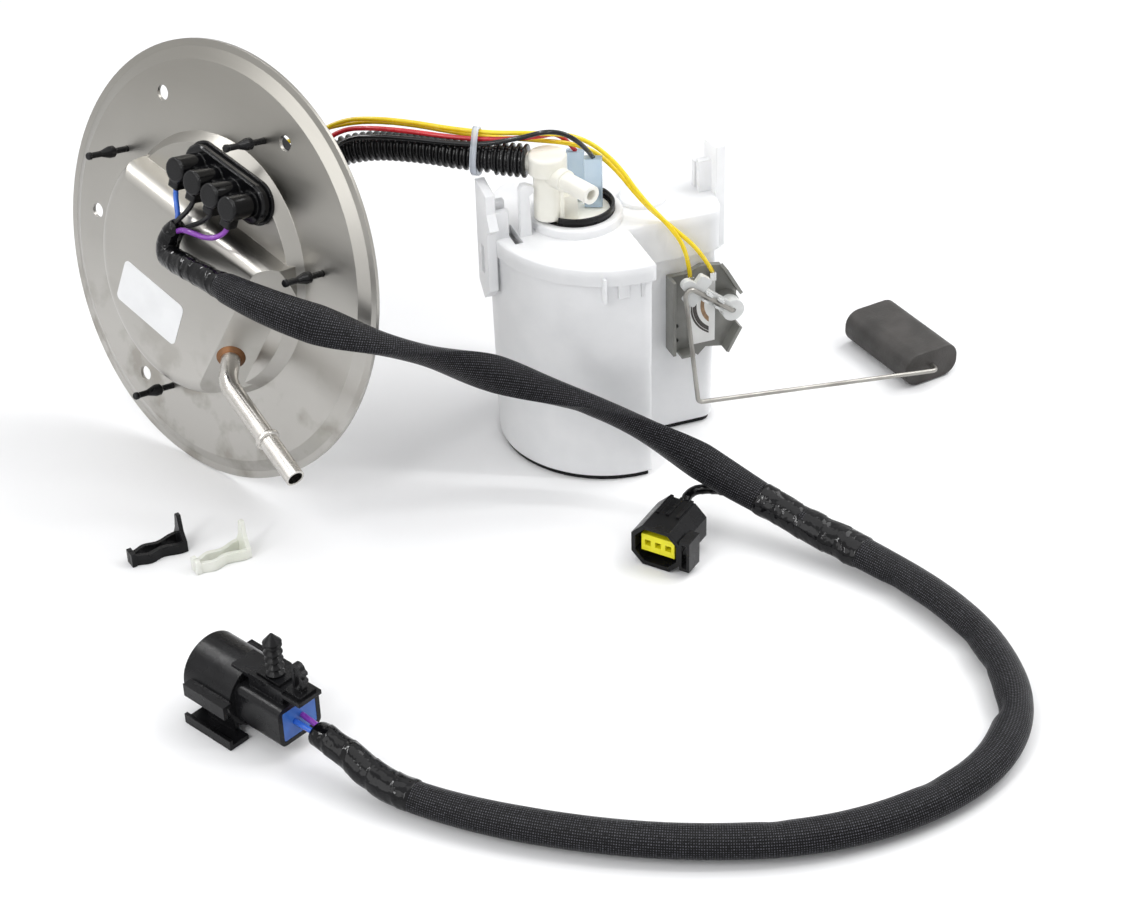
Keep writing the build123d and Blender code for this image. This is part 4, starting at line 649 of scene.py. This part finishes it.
def noise(tree, source, scale, detail=3.0, stretch=None):
    """Noise in the given coordinates, with features about 1 / scale metres across."""
    coords = source
    if stretch:
        mapping = tree.nodes.new("ShaderNodeMapping")
        mapping.inputs["Scale"].default_value = stretch
        tree.links.new(source, mapping.inputs["Vector"])
        coords = mapping.outputs["Vector"]
    node = tree.nodes.new("ShaderNodeTexNoise")
    node.inputs["Scale"].default_value = scale
    node.inputs["Detail"].default_value = detail
    tree.links.new(coords, node.inputs["Vector"])
    return node.outputs["Fac"]


def between(tree, factor, low, high, start=0.3, end=0.7):
    """Low where the factor is at start, high where it is at end, straight in between."""
    node = tree.nodes.new("ShaderNodeMapRange")
    for socket, value in zip(("From Min", "From Max", "To Min", "To Max"), (start, end, low, high)):
        node.inputs[socket].default_value = value
    tree.links.new(factor, node.inputs["Value"])
    return node.outputs["Result"]


print("helpers:", [f.__name__ for f in (new_material, object_space, noise, between)])

# %% [markdown]
# ### Tones and sums
# A colour ramp blends two tones, and a Math node does one sum. Such nodes can be joined by
# hand in the editor. As functions, a whole finish reads like a short recipe.


# %% Material helpers: tones and sums
def two_tones(tree, factor, dark, light, start=0.35, end=0.65):
    """Dark where the factor is at start, light where it is at end, blended in between."""
    node = tree.nodes.new("ShaderNodeValToRGB")
    for element, place, colour in zip(node.color_ramp.elements, (start, end), (dark, light)):
        element.position = place
        element.color = (*colour, 1.0)
    tree.links.new(factor, node.inputs["Fac"])
    return node.outputs["Color"]


def feed(tree, socket, value):
    """Joins a socket to another node's output, or types in a plain number."""
    if isinstance(value, (int, float)):
        socket.default_value = value
    else:
        tree.links.new(value, socket)


def calculate(tree, kind, first, second=0.0):
    """One sum on two values; kinds such as SINE take the first alone."""
    node = tree.nodes.new("ShaderNodeMath")
    node.operation = kind
    feed(tree, node.inputs[0], first)
    feed(tree, node.inputs[1], second)
    return node.outputs["Value"]


print("helpers:", [f.__name__ for f in (two_tones, feed, calculate)])

# %% [markdown]
# ### Blends and relief
# A Bump node tilts the light by a height. Real mesh detail this fine would need millions of
# faces. The Bevel node softens how sharp moulded edges catch the light, without touching
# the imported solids.


# %% Material helpers: blends and relief
def mixed(tree, factor, low, high, blend="MIX"):
    """Two colours blended by a factor: low at nought and high, or low times high, at one."""
    node = tree.nodes.new("ShaderNodeMix")
    node.data_type = "RGBA"
    node.blend_type = blend
    feed(tree, node.inputs["Factor"], factor)
    tree.links.new(low, node.inputs["A"])
    tree.links.new(high, node.inputs["B"])
    return node.outputs["Result"]


def bump(tree, shader, height, strength, distance, rounded=None):
    """Relief: strength times the height times the distance, over edges of a rounded radius."""
    node = tree.nodes.new("ShaderNodeBump")
    node.inputs["Strength"].default_value = strength
    node.inputs["Distance"].default_value = distance
    tree.links.new(height, node.inputs["Height"])
    if rounded:
        edge = tree.nodes.new("ShaderNodeBevel")
        edge.samples = 4
        edge.inputs["Radius"].default_value = rounded
        tree.links.new(edge.outputs["Normal"], node.inputs["Normal"])
    tree.links.new(node.outputs["Normal"], shader.inputs["Normal"])


print("helpers:", [f.__name__ for f in (mixed, bump)])

# %% [markdown]
# ### Moulded things, black ones first
# Most pieces are moulded plastic or rubber, and plain metal is mixed in the same way, so one
# function makes them all. Black plastic is really a very dark grey whose look comes from its
# gloss: satin on the shells, smooth on the flange's connector, oily on the hose.


# %% Moulded finishes, and the dark ones
MOTTLE_SCALE, GLOSS_SCALE = 60.0, 140.0
GRAIN_DEPTH = 0.4 * MM


def moulded(name, dark, light, rough=(0.35, 0.5), grain=2600.0, relief=0.08,
            rounded=0.3 * MM, metal=0.0, **sockets):
    """Mottled tone from dark to light, roughness from rough[0] to rough[1], fine grain.

    Mottling, gloss and grain each come from noise of their own scale, 1 / scale metres
    across. Any other socket of the shader may be given by its own name.
    """
    material, tree, shader = new_material(name)
    space = object_space(tree)
    tone = two_tones(tree, noise(tree, space, MOTTLE_SCALE, 4.0), dark, light)
    tree.links.new(tone, shader.inputs["Base Color"])
    gloss = between(tree, noise(tree, space, GLOSS_SCALE), *rough)
    tree.links.new(gloss, shader.inputs["Roughness"])
    bump(tree, shader, noise(tree, space, grain, 2.0), relief, GRAIN_DEPTH, rounded)
    shader.inputs["Metallic"].default_value = metal
    shader.inputs["Subsurface Radius"].default_value = (1.0, 1.0, 1.0)
    for socket, value in sockets.items():
        shader.inputs[socket.replace("_", " ")].default_value = value
    return material


soot, coal = (0.004, 0.004, 0.0045), (0.010, 0.010, 0.011)
finish = {
    "rubber": moulded("soft_rubber", soot, coal, (0.22, 0.34), 1800.0, 0.06,
                      Specular_IOR_Level=0.20),
    "black": moulded("black_plastic", soot, coal, (0.22, 0.34), 2600.0, 0.07,
                     Specular_IOR_Level=0.18),
    "gloss": moulded("glossy_black", (0.002, 0.002, 0.0025), (0.005, 0.005, 0.006),
                     (0.07, 0.14), 1500.0, 0.02, 1.0 * MM, Specular_IOR_Level=0.26),
    "hose": moulded("hose_plastic", (0.003, 0.003, 0.0035), (0.008, 0.008, 0.009),
                    (0.12, 0.22), 1500.0, 0.05, None, Specular_IOR_Level=0.34),
    "grey": moulded("grey_plastic", (0.18, 0.18, 0.165), (0.26, 0.26, 0.24),
                    (0.4, 0.55), 1800.0, 0.12, 0.25 * MM),
    "foam": moulded("closed_foam", (0.020, 0.018, 0.016), (0.040, 0.036, 0.033),
                    (0.5, 0.68), 1100.0, 0.35, 0.4 * MM),
    "magnet": moulded("ferrite", (0.05, 0.05, 0.055), (0.09, 0.09, 0.095),
                      (0.5, 0.7), 1500.0, 0.15, 0.3 * MM),
}
print("dark finishes:", list(finish))

# %% [markdown]
# ### Pale and coloured things
# The tub is milky plastic, which lets light in a little way. Subsurface gives that glow in
# its shadows; mere transparency would show its inside. The tie and the terminals' sleeves
# are clear enough for transmission. The label is bare white paper, a little duller.

# %% Pale and coloured finishes
finish |= {
    "white": moulded("milky_plastic", (0.85, 0.858, 0.87), (0.90, 0.905, 0.915),
                     (0.30, 0.42), 900.0, 0.03, 0.5 * MM,
                     Subsurface_Weight=0.35, Subsurface_Scale=0.01),
    "natural": moulded("natural_plastic", (0.74, 0.76, 0.66), (0.82, 0.83, 0.75),
                       (0.3, 0.42), 1200.0, 0.04, 0.3 * MM,
                       Subsurface_Weight=0.5, Subsurface_Scale=0.006),
    "cream": moulded("cream_nylon", (0.86, 0.84, 0.75), (0.91, 0.895, 0.82),
                     (0.34, 0.48), 1500.0, 0.06, 0.4 * MM,
                     Subsurface_Weight=0.3, Subsurface_Scale=0.004),
    "pale": moulded("pale_plastic", (0.60, 0.61, 0.60), (0.72, 0.73, 0.72),
                    (0.32, 0.46), 1500.0, 0.06, 0.25 * MM),
    "label": moulded("paper_label", (0.77, 0.775, 0.78), (0.83, 0.835, 0.84),
                     (0.5, 0.65), 2400.0, 0.05, None),
    "sleeve_blue": moulded("blue_sleeve", (0.56, 0.70, 0.82), (0.70, 0.82, 0.92),
                           (0.08, 0.16), 900.0, 0.05, 0.4 * MM,
                           Transmission_Weight=0.6, IOR=1.45),
    "clear": moulded("clear_nylon", (0.76, 0.81, 0.90), (0.86, 0.90, 0.96),
                     (0.15, 0.25), 900.0, 0.05, 0.3 * MM,
                     Transmission_Weight=0.6, IOR=1.5),
    "ceramic": moulded("ceramic_card", (0.80, 0.80, 0.78), (0.88, 0.88, 0.86),
                       (0.35, 0.5), 2000.0, 0.05, None),
    "mesh": moulded("nylon_mesh", (0.66, 0.66, 0.63), (0.84, 0.84, 0.81),
                    (0.5, 0.7), 1600.0, 0.6, None),
    "yellow_insert": moulded("yellow_insert", (0.72, 0.66, 0.0), (0.84, 0.78, 0.01),
                             (0.35, 0.5), 1500.0, 0.06, 0.2 * MM),
    "blue_insert": moulded("blue_insert", (0.03, 0.12, 0.45), (0.05, 0.18, 0.58),
                           (0.3, 0.45), 1500.0, 0.06, 0.2 * MM),
}
print("finishes so far:", len(finish))

# %% [markdown]
# ### Wire coats
# The wires' coats are all the same smooth soft plastic in different colours, so they share
# their gloss and grain, and only the colour is given. Black gets a little more shine, which
# is all that shows of it.


# %% Wire coats
def wire_coat(name, dark, light, rough=(0.22, 0.32), **sockets):
    """Moulded finish with the faint grain and unrounded edges of a drawn wire coat."""
    return moulded(name, dark, light, rough, 900.0, 0.04, None, **sockets)


finish |= {
    "red": wire_coat("red_insulation", (0.45, 0.012, 0.02), (0.62, 0.02, 0.03)),
    "yellow": wire_coat("yellow_insulation", (0.80, 0.57, 0.0), (0.88, 0.67, 0.01)),
    "blue": wire_coat("blue_insulation", (0.02, 0.10, 0.50), (0.04, 0.16, 0.65)),
    "purple": wire_coat("purple_insulation", (0.18, 0.03, 0.32), (0.28, 0.06, 0.46)),
    "copper_wire": wire_coat("orange_insulation", (0.45, 0.17, 0.06), (0.60, 0.26, 0.10)),
    "black_wire": wire_coat("black_insulation", (0.003, 0.003, 0.0035),
                            (0.008, 0.008, 0.009), (0.14, 0.22), Specular_IOR_Level=0.36),
}
print("finishes so far:", len(finish))

# %% [markdown]
# ### Plain metals
# The outlet tube is drawn and bright, the ring that holds it is a dull copper braze, and
# terminals, springs and the pump's can are plated. A metal's colour is the colour of its
# reflection, so they only need the moulded mix with the metal turned fully up.

# %% Plain metals
finish |= {
    "tube": moulded("drawn_tube", (0.48, 0.46, 0.43), (0.60, 0.58, 0.55),
                    (0.22, 0.30), 700.0, 0.015, 0.2 * MM, metal=1.0),
    "braze": moulded("copper_braze", (0.11, 0.05, 0.025), (0.27, 0.14, 0.07),
                     (0.3, 0.5), 1200.0, 0.3, None, metal=1.0),
    "tin": moulded("tin_metal", (0.55, 0.55, 0.54), (0.72, 0.72, 0.71),
                   (0.22, 0.36), 1500.0, 0.08, 0.15 * MM, metal=1.0),
    "wire_steel": moulded("spring_wire", (0.26, 0.25, 0.23), (0.38, 0.37, 0.345),
                          (0.34, 0.48), 1500.0, 0.06, None, metal=1.0),
    "zinc": moulded("zinc_can", (0.50, 0.50, 0.48), (0.64, 0.64, 0.62),
                    (0.25, 0.4), 900.0, 0.05, 0.3 * MM, metal=1.0),
    "copper": moulded("copper_winding", (0.50, 0.24, 0.10), (0.66, 0.36, 0.18),
                      (0.25, 0.4), 1200.0, 0.2, None, metal=1.0),
}
print("finishes so far:", len(finish))

# %% [markdown]
# ### Stamped steel cover
# The cover is rolled steel: fine streaks along one way, broad dull patches and a few stains
# low down, and its upper half is darkened by painted shade. An anisotropic shader would
# stretch every highlight.
# Noise squeezed sixty times across the rolling direction makes quiet streaks instead.


# %% Steel
ROLLING_TURN = 1.07


def height_share(tree, space, low, high):
    """Nought at the lower height and one at the upper height, in metres."""
    split = tree.nodes.new("ShaderNodeSeparateXYZ")
    tree.links.new(space, split.inputs["Vector"])
    return between(tree, split.outputs["Z"], 0.0, 1.0, low, high)


def rolled_steel():
    """Patchy base * painted shade darkening with height * stains low down; roughness is patches
    plus streaks.
    """
    material, tree, shader = new_material("rolled_steel")
    space = object_space(tree)
    shader.inputs["Metallic"].default_value = 1.0
    turned = tree.nodes.new("ShaderNodeMapping")
    turned.inputs["Rotation"].default_value = (0.0, 0.0, ROLLING_TURN)
    tree.links.new(space, turned.inputs["Vector"])
    streaks = noise(tree, turned.outputs["Vector"], 30.0, 6.0, (1.0, 60.0, 1.6))
    patches = noise(tree, space, 11.0, 2.0)
    base = two_tones(tree, patches, (0.43, 0.418, 0.394), (0.50, 0.487, 0.462), 0.3, 0.7)
    # Painted shade: the colour is multiplied down to 0.64 between 6 cm and 16 cm high, so the upper
    # half is darker.
    shade = two_tones(tree, height_share(tree, space, 0.06, 0.16),
                      (1.0, 1.0, 1.0), (0.64, 0.633, 0.612), 0.0, 1.0)
    base = mixed(tree, 1.0, base, shade, "MULTIPLY")
    blots = noise(tree, space, 62.0, 6.0)
    stains = two_tones(tree, blots, (0.50, 0.47, 0.42), (1.0, 1.0, 1.0), 0.36, 0.50)
    low_down = calculate(tree, "SUBTRACT", 1.0, height_share(tree, space, 0.035, 0.085))
    stained = calculate(tree, "MULTIPLY", low_down, 0.55)
    tree.links.new(mixed(tree, stained, base, stains, "MULTIPLY"), shader.inputs["Base Color"])
    gloss = calculate(tree, "ADD", between(tree, patches, 0.28, 0.35),
                      between(tree, streaks, 0.0, 0.05))
    tree.links.new(gloss, shader.inputs["Roughness"])
    bump(tree, shader, streaks, 0.03, 0.0002, 0.35 * MM)
    return material


finish["steel"] = rolled_steel()
print("nodes in the steel:", len(finish["steel"].node_tree.nodes))

# %% [markdown]
# ### Woven sleeve
# The sleeve is braided from black yarn in two slanting sets. Modelling each strand would
# take hundreds of thousands of faces. Two crossed sine waves on the skin's own map give the
# same lattice of yarn crossings, and because the map follows the loom, so does the weave.


# %% Woven sleeve
YARNS_PER_METRE = 560.0
YARNS_ROUND = 21.0


def woven_sleeve():
    """Height = half the product of two slanting sine waves, plus fuzz; it sets tone and relief.

    Each wave is sin(2 pi (u * YARNS_PER_METRE + v * YARNS_ROUND)), with v turned round in
    the second one so that the two sets cross. The lighter tone on the crests is a painted
    highlight that stands in for glints on the black yarn.
    """
    material, tree, shader = new_material("woven_sleeve")
    uv = tree.nodes.new("ShaderNodeUVMap")
    uv.uv_map = "along"
    waves = []
    for slant in (1.0, -1.0):
        mapping = tree.nodes.new("ShaderNodeMapping")
        mapping.inputs["Scale"].default_value = (YARNS_PER_METRE, YARNS_ROUND * slant, 1.0)
        tree.links.new(uv.outputs["UV"], mapping.inputs["Vector"])
        split = tree.nodes.new("ShaderNodeSeparateXYZ")
        tree.links.new(mapping.outputs["Vector"], split.inputs["Vector"])
        turns = calculate(tree, "ADD", split.outputs["X"], split.outputs["Y"])
        waves.append(calculate(tree, "SINE", calculate(tree, "MULTIPLY", turns, 2 * np.pi)))
    space = object_space(tree)
    crossings = calculate(tree, "MULTIPLY", calculate(tree, "MULTIPLY", *waves), 0.5)
    height = calculate(tree, "ADD", crossings, noise(tree, space, 1500.0, 3.0))
    # Painted highlight: the yarn crests are lightened to a grey of 0.09, standing in for glints on
    # black yarn.
    tone = two_tones(tree, height, (0.002, 0.002, 0.0025), (0.09, 0.09, 0.105), 0.66, 1.0)
    tree.links.new(tone, shader.inputs["Base Color"])
    tree.links.new(between(tree, noise(tree, space, 90.0), 0.28, 0.42), shader.inputs["Roughness"])
    shader.inputs["Specular IOR Level"].default_value = 0.13
    bump(tree, shader, height, 0.5, 0.0004)
    return material


finish["sleeve"] = woven_sleeve()
print("nodes in the weave:", len(finish["sleeve"].node_tree.nodes))

# %% [markdown]
# ### Glossy tape
# Stretched plastic tape is nearly black, and is seen by its highlights, which break up on
# long soft wrinkles. The winding's mesh has the overlaps; wrinkles of a few millimetres
# come from a strong bump on coarse noise, so they cost no faces.


# %% Tape
def shiny_tape():
    """Near black from one noise, roughness 0.06 to 0.12 from another, relief from a third."""
    material, tree, shader = new_material("shiny_tape")
    space = object_space(tree)
    tone = two_tones(tree, noise(tree, space, 120.0), (0.002, 0.002, 0.0025), (0.006, 0.006, 0.007))
    tree.links.new(tone, shader.inputs["Base Color"])
    tree.links.new(between(tree, noise(tree, space, 200.0), 0.06, 0.12), shader.inputs["Roughness"])
    shader.inputs["Specular IOR Level"].default_value = 0.22
    bump(tree, shader, noise(tree, space, 300.0, 1.5), 0.42, 0.0012)
    return material


finish["tape"] = shiny_tape()
print("nodes in the tape:", len(finish["tape"].node_tree.nodes))

# %% [markdown]
# ### Printed tracks of the level sender
# The tracks on the sender's card are printed arcs about the arm's hub, dark ones outside
# and a tan one inside. They could get a material each, but they are one piece, so the ink
# is chosen by the distance from the hub.


# %% Track ink
HUB_X, HUB_Z = 0.047, 0.0612
TAN_REACH = 0.0125


def track_ink():
    """Tan where the square root of x squared plus z squared from the hub is under TAN_REACH."""
    material, tree, shader = new_material("track_ink")
    space = object_space(tree)
    split = tree.nodes.new("ShaderNodeSeparateXYZ")
    tree.links.new(space, split.inputs["Vector"])
    x = calculate(tree, "SUBTRACT", split.outputs["X"], HUB_X)
    z = calculate(tree, "SUBTRACT", split.outputs["Z"], HUB_Z)
    squares = calculate(tree, "ADD", calculate(tree, "MULTIPLY", x, x),
                        calculate(tree, "MULTIPLY", z, z))
    outside = calculate(tree, "GREATER_THAN", calculate(tree, "SQRT", squares), TAN_REACH)
    speckle = noise(tree, space, 900.0)
    tan = two_tones(tree, speckle, (0.26, 0.15, 0.07), (0.36, 0.22, 0.11))
    dark = two_tones(tree, speckle, (0.03, 0.025, 0.02), (0.06, 0.05, 0.045))
    tree.links.new(mixed(tree, outside, tan, dark), shader.inputs["Base Color"])
    tree.links.new(between(tree, noise(tree, space, 700.0), 0.35, 0.55), shader.inputs["Roughness"])
    bump(tree, shader, noise(tree, space, 2600.0, 2.0), 0.1, 0.0003)
    return material


finish["ink"] = track_ink()
print("finishes:", len(finish))

# %% [markdown]
# ## Put the finishes on
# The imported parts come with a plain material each, which is swapped here for a finish. It
# could be done by hand in the Material tab, but a list says at a glance what is made of what.

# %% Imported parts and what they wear
wears = {
    "steel": ["cover_flange"],
    "tube": ["outlet_tube"],
    "braze": ["braze_ring"],
    "rubber": ["flange_seal", "pump_seal_ring", "fill_valve"],
    "label": ["flange_label"],
    "gloss": ["bulkhead_connector", "bulkhead_seal"],
    "black": ["hose_cuff", "reservoir_foot", "loom_clip_fir", "loom_clip_loop",
              "retainer_clip_black", "three_way_shell", "round_plug_shell", "impeller",
              "carbon_brushes"],
    "clear": ["cable_tie"],
    "white": ["reservoir_tub", "reservoir_lid"],
    "grey": ["sender_bracket", "inlet_cover"],
    "pale": ["sender_rotor"],
    "natural": ["retainer_clip_natural"],
    "cream": ["pump_cap", "check_poppet"],
    "sleeve_blue": ["power_terminals"],
    "ceramic": ["resistor_card"],
    "ink": ["resistor_tracks"],
    "tin": ["sender_terminals", "wiper_contact", "three_way_terminals",
            "round_plug_terminals", "bulkhead_pins"],
    "wire_steel": ["float_rod", "check_spring"],
    "foam": ["float"],
    "yellow_insert": ["three_way_insert"],
    "blue_insert": ["round_plug_insert"],
    "zinc": ["pump_can"],
    "copper": ["armature"],
    "magnet": ["field_magnets"],
    "mesh": ["inlet_strainer"],
}
for key, names in wears.items():
    for name in names:
        data = nodes[name].data
        data.materials.clear()
        data.materials.append(finish[key])
print("packed parts finished:", sum(len(names) for names in wears.values()))

# %% [markdown]
# ### The new skins
# The new pieces were made without a material, so each simply gets its first one. Wires
# of the same colour could have one each, but they share it, so that a change reaches all.
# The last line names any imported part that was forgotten.

# %% New skins and what they wear
covers = {"feed_hose": "hose", "red_wire": "red", "black_wire": "black_wire",
          "yellow_wire_a": "yellow", "yellow_wire_b": "yellow", "pigtail_blue": "blue",
          "pigtail_black_a": "black_wire", "pigtail_black_b": "black_wire",
          "pigtail_purple": "purple", "harness_trunk": "sleeve", "branch_trunk": "sleeve"}
outfits = [(pieces[name], key) for name, key in covers.items()]
outfits += [(piece, "tape") for piece in tapes]
outfits += [(cuff, "hose"), (tie, "clear"), (lip, "rubber")]
outfits += list(zip(plug_wires, ("blue", "purple", "copper_wire")))
for piece, key in outfits:
    piece.data.materials.append(finish[key])
dressed = {n for names in wears.values() for n in names} | set(covers)
print("skins finished:", len(outfits), "nodes with no finish:", sorted(set(nodes) - dressed))

# %% [markdown]
# ## Bench
# The module lies on a white bench with no visible edge. A bent paper backdrop would do in
# a studio, but it shows from behind. A flat square reaching far out looks the same from
# every side. It lies a hair below the module, so that the two never share a plane.

# %% Bench
BENCH_REACH = 6.0
BENCH_DROP = 0.2 * MM
corners = np.array([(-1, -1, 0), (1, -1, 0), (1, 1, 0), (-1, 1, 0)]) * BENCH_REACH
floor_mesh = bpy.data.meshes.new("bench")
floor_mesh.from_pydata(corners.tolist(), [], [(0, 1, 2, 3)])
floor = bpy.data.objects.new("bench", floor_mesh)
floor.location.z = -BENCH_DROP
bpy.context.scene.collection.objects.link(floor)
print("bench:", 2 * BENCH_REACH, "m wide")

# %% [markdown]
# ### Bench finish
# Close in, the bench is plain matt white and keeps the module's shadow. Half a metre out it
# starts to fade into the pure white that the world shows to the eye, to polished metal and
# through clear plastic. More light on it would also hide the edge, but would bleach the
# module's pale parts.


# %% Bench finish
FADE_FROM, FADE_TO = 0.5, 1.1


def seen_straight(tree):
    """One for rays from the eye, from a mirror or through clear plastic, else nought."""
    kind = tree.nodes.new("ShaderNodeLightPath")
    seen = calculate(tree, "MAXIMUM", kind.outputs["Is Camera Ray"], kind.outputs["Is Glossy Ray"])
    return calculate(tree, "MAXIMUM", seen, kind.outputs["Is Transmission Ray"])


bench, tree, shader = new_material("bench_white")
space = object_space(tree)
shade = two_tones(tree, noise(tree, space, 3.0), (0.90, 0.90, 0.905), (0.93, 0.93, 0.93))
tree.links.new(shade, shader.inputs["Base Color"])
shader.inputs["Roughness"].default_value = 0.9
shader.inputs["Specular IOR Level"].default_value = 0.1
distance = tree.nodes.new("ShaderNodeVectorMath")
distance.operation = "LENGTH"
tree.links.new(space, distance.inputs[0])
far_off = between(tree, distance.outputs["Value"], 0.0, 1.0, FADE_FROM, FADE_TO)
white = tree.nodes.new("ShaderNodeEmission")
fade = tree.nodes.new("ShaderNodeMixShader")
tree.links.new(calculate(tree, "MULTIPLY", far_off, seen_straight(tree)), fade.inputs["Fac"])
tree.links.new(shader.outputs["BSDF"], fade.inputs[1])
tree.links.new(white.outputs["Emission"], fade.inputs[2])
tree.links.new(fade.outputs["Shader"], tree.nodes["Material Output"].inputs["Surface"])
floor_mesh.materials.append(bench)
print("bench fades from", FADE_FROM, "to", FADE_TO, "m")

# %% [markdown]
# ## Lamps
# Broad soft lamps light the module from the right, the left and above, as in a product
# photograph. Point lamps would give hard shadows. Three narrow strips draw the bright lines
# along tape, hose and tube. The one behind only makes such glints, and no shadow on the bench.


# %% Lamps
LAMP_TARGET = (-0.03, -0.08, 0.05)


def softbox(name, place, size, power):
    """A rectangular soft light at a place, turned so that its -Z looks at the target."""
    data = bpy.data.lights.new(name, "AREA")
    data.shape = "RECTANGLE"
    data.size, data.size_y = size
    data.energy = power
    light = bpy.data.objects.new(name, data)
    light.location = place
    look = Vector(LAMP_TARGET) - Vector(place)
    light.rotation_euler = look.to_track_quat("-Z", "Y").to_euler()
    bpy.context.scene.collection.objects.link(light)
    return light


softbox("key_right", (0.9, 0.1, 1.1), (0.8, 0.8), 8.0)
softbox("fill_left", (-1.3, -0.3, 0.9), (0.8, 1.0), 5.0)
softbox("top", (0.0, 0.1, 1.6), (1.2, 1.2), 6.0)
softbox("strip_left", (-0.9, -0.7, 1.0), (0.05, 0.9), 4.0)
softbox("strip_right", (0.8, -0.5, 1.1), (0.05, 0.9), 4.0)
glint = softbox("strip_back", (-0.75, 0.5, 1.15), (0.9, 0.09), 7.0)
glint.visible_diffuse = False

# %% [markdown]
# ## World
# The world does two jobs. What is seen straight is pure white, at a strength of one. What
# lights the module is a soft sky, paler above than at the sides, so that round things keep
# a darker edge. One plain colour for both would make the module either dull or flat.

# %% World
SKY_STRENGTH = 0.60
world = bpy.data.worlds.new("room")
bpy.context.scene.world = world
world.use_nodes = True
tree = world.node_tree
tree.nodes.clear()
output = tree.nodes.new("ShaderNodeOutputWorld")
seen = tree.nodes.new("ShaderNodeBackground")
seen.inputs["Color"].default_value = (1.0, 1.0, 1.0, 1.0)
seen.inputs["Strength"].default_value = 1.0
sky = tree.nodes.new("ShaderNodeBackground")
way = tree.nodes.new("ShaderNodeSeparateXYZ")
tree.links.new(tree.nodes.new("ShaderNodeTexCoord").outputs["Generated"], way.inputs["Vector"])
lift = between(tree, way.outputs["Z"], 0.0, 1.0, -0.1, 0.8)
sky_colour = two_tones(tree, lift, (0.42, 0.42, 0.43), (0.97, 0.98, 1.0), 0.0, 0.75)
tree.links.new(sky_colour, sky.inputs["Color"])
sky.inputs["Strength"].default_value = SKY_STRENGTH
choose = tree.nodes.new("ShaderNodeMixShader")
tree.links.new(seen_straight(tree), choose.inputs["Fac"])
tree.links.new(sky.outputs["Background"], choose.inputs[1])
tree.links.new(seen.outputs["Background"], choose.inputs[2])
tree.links.new(choose.outputs["Shader"], output.inputs["Surface"])
bpy.context.scene.view_settings.view_transform = "Standard"
print("sky strength:", SKY_STRENGTH)
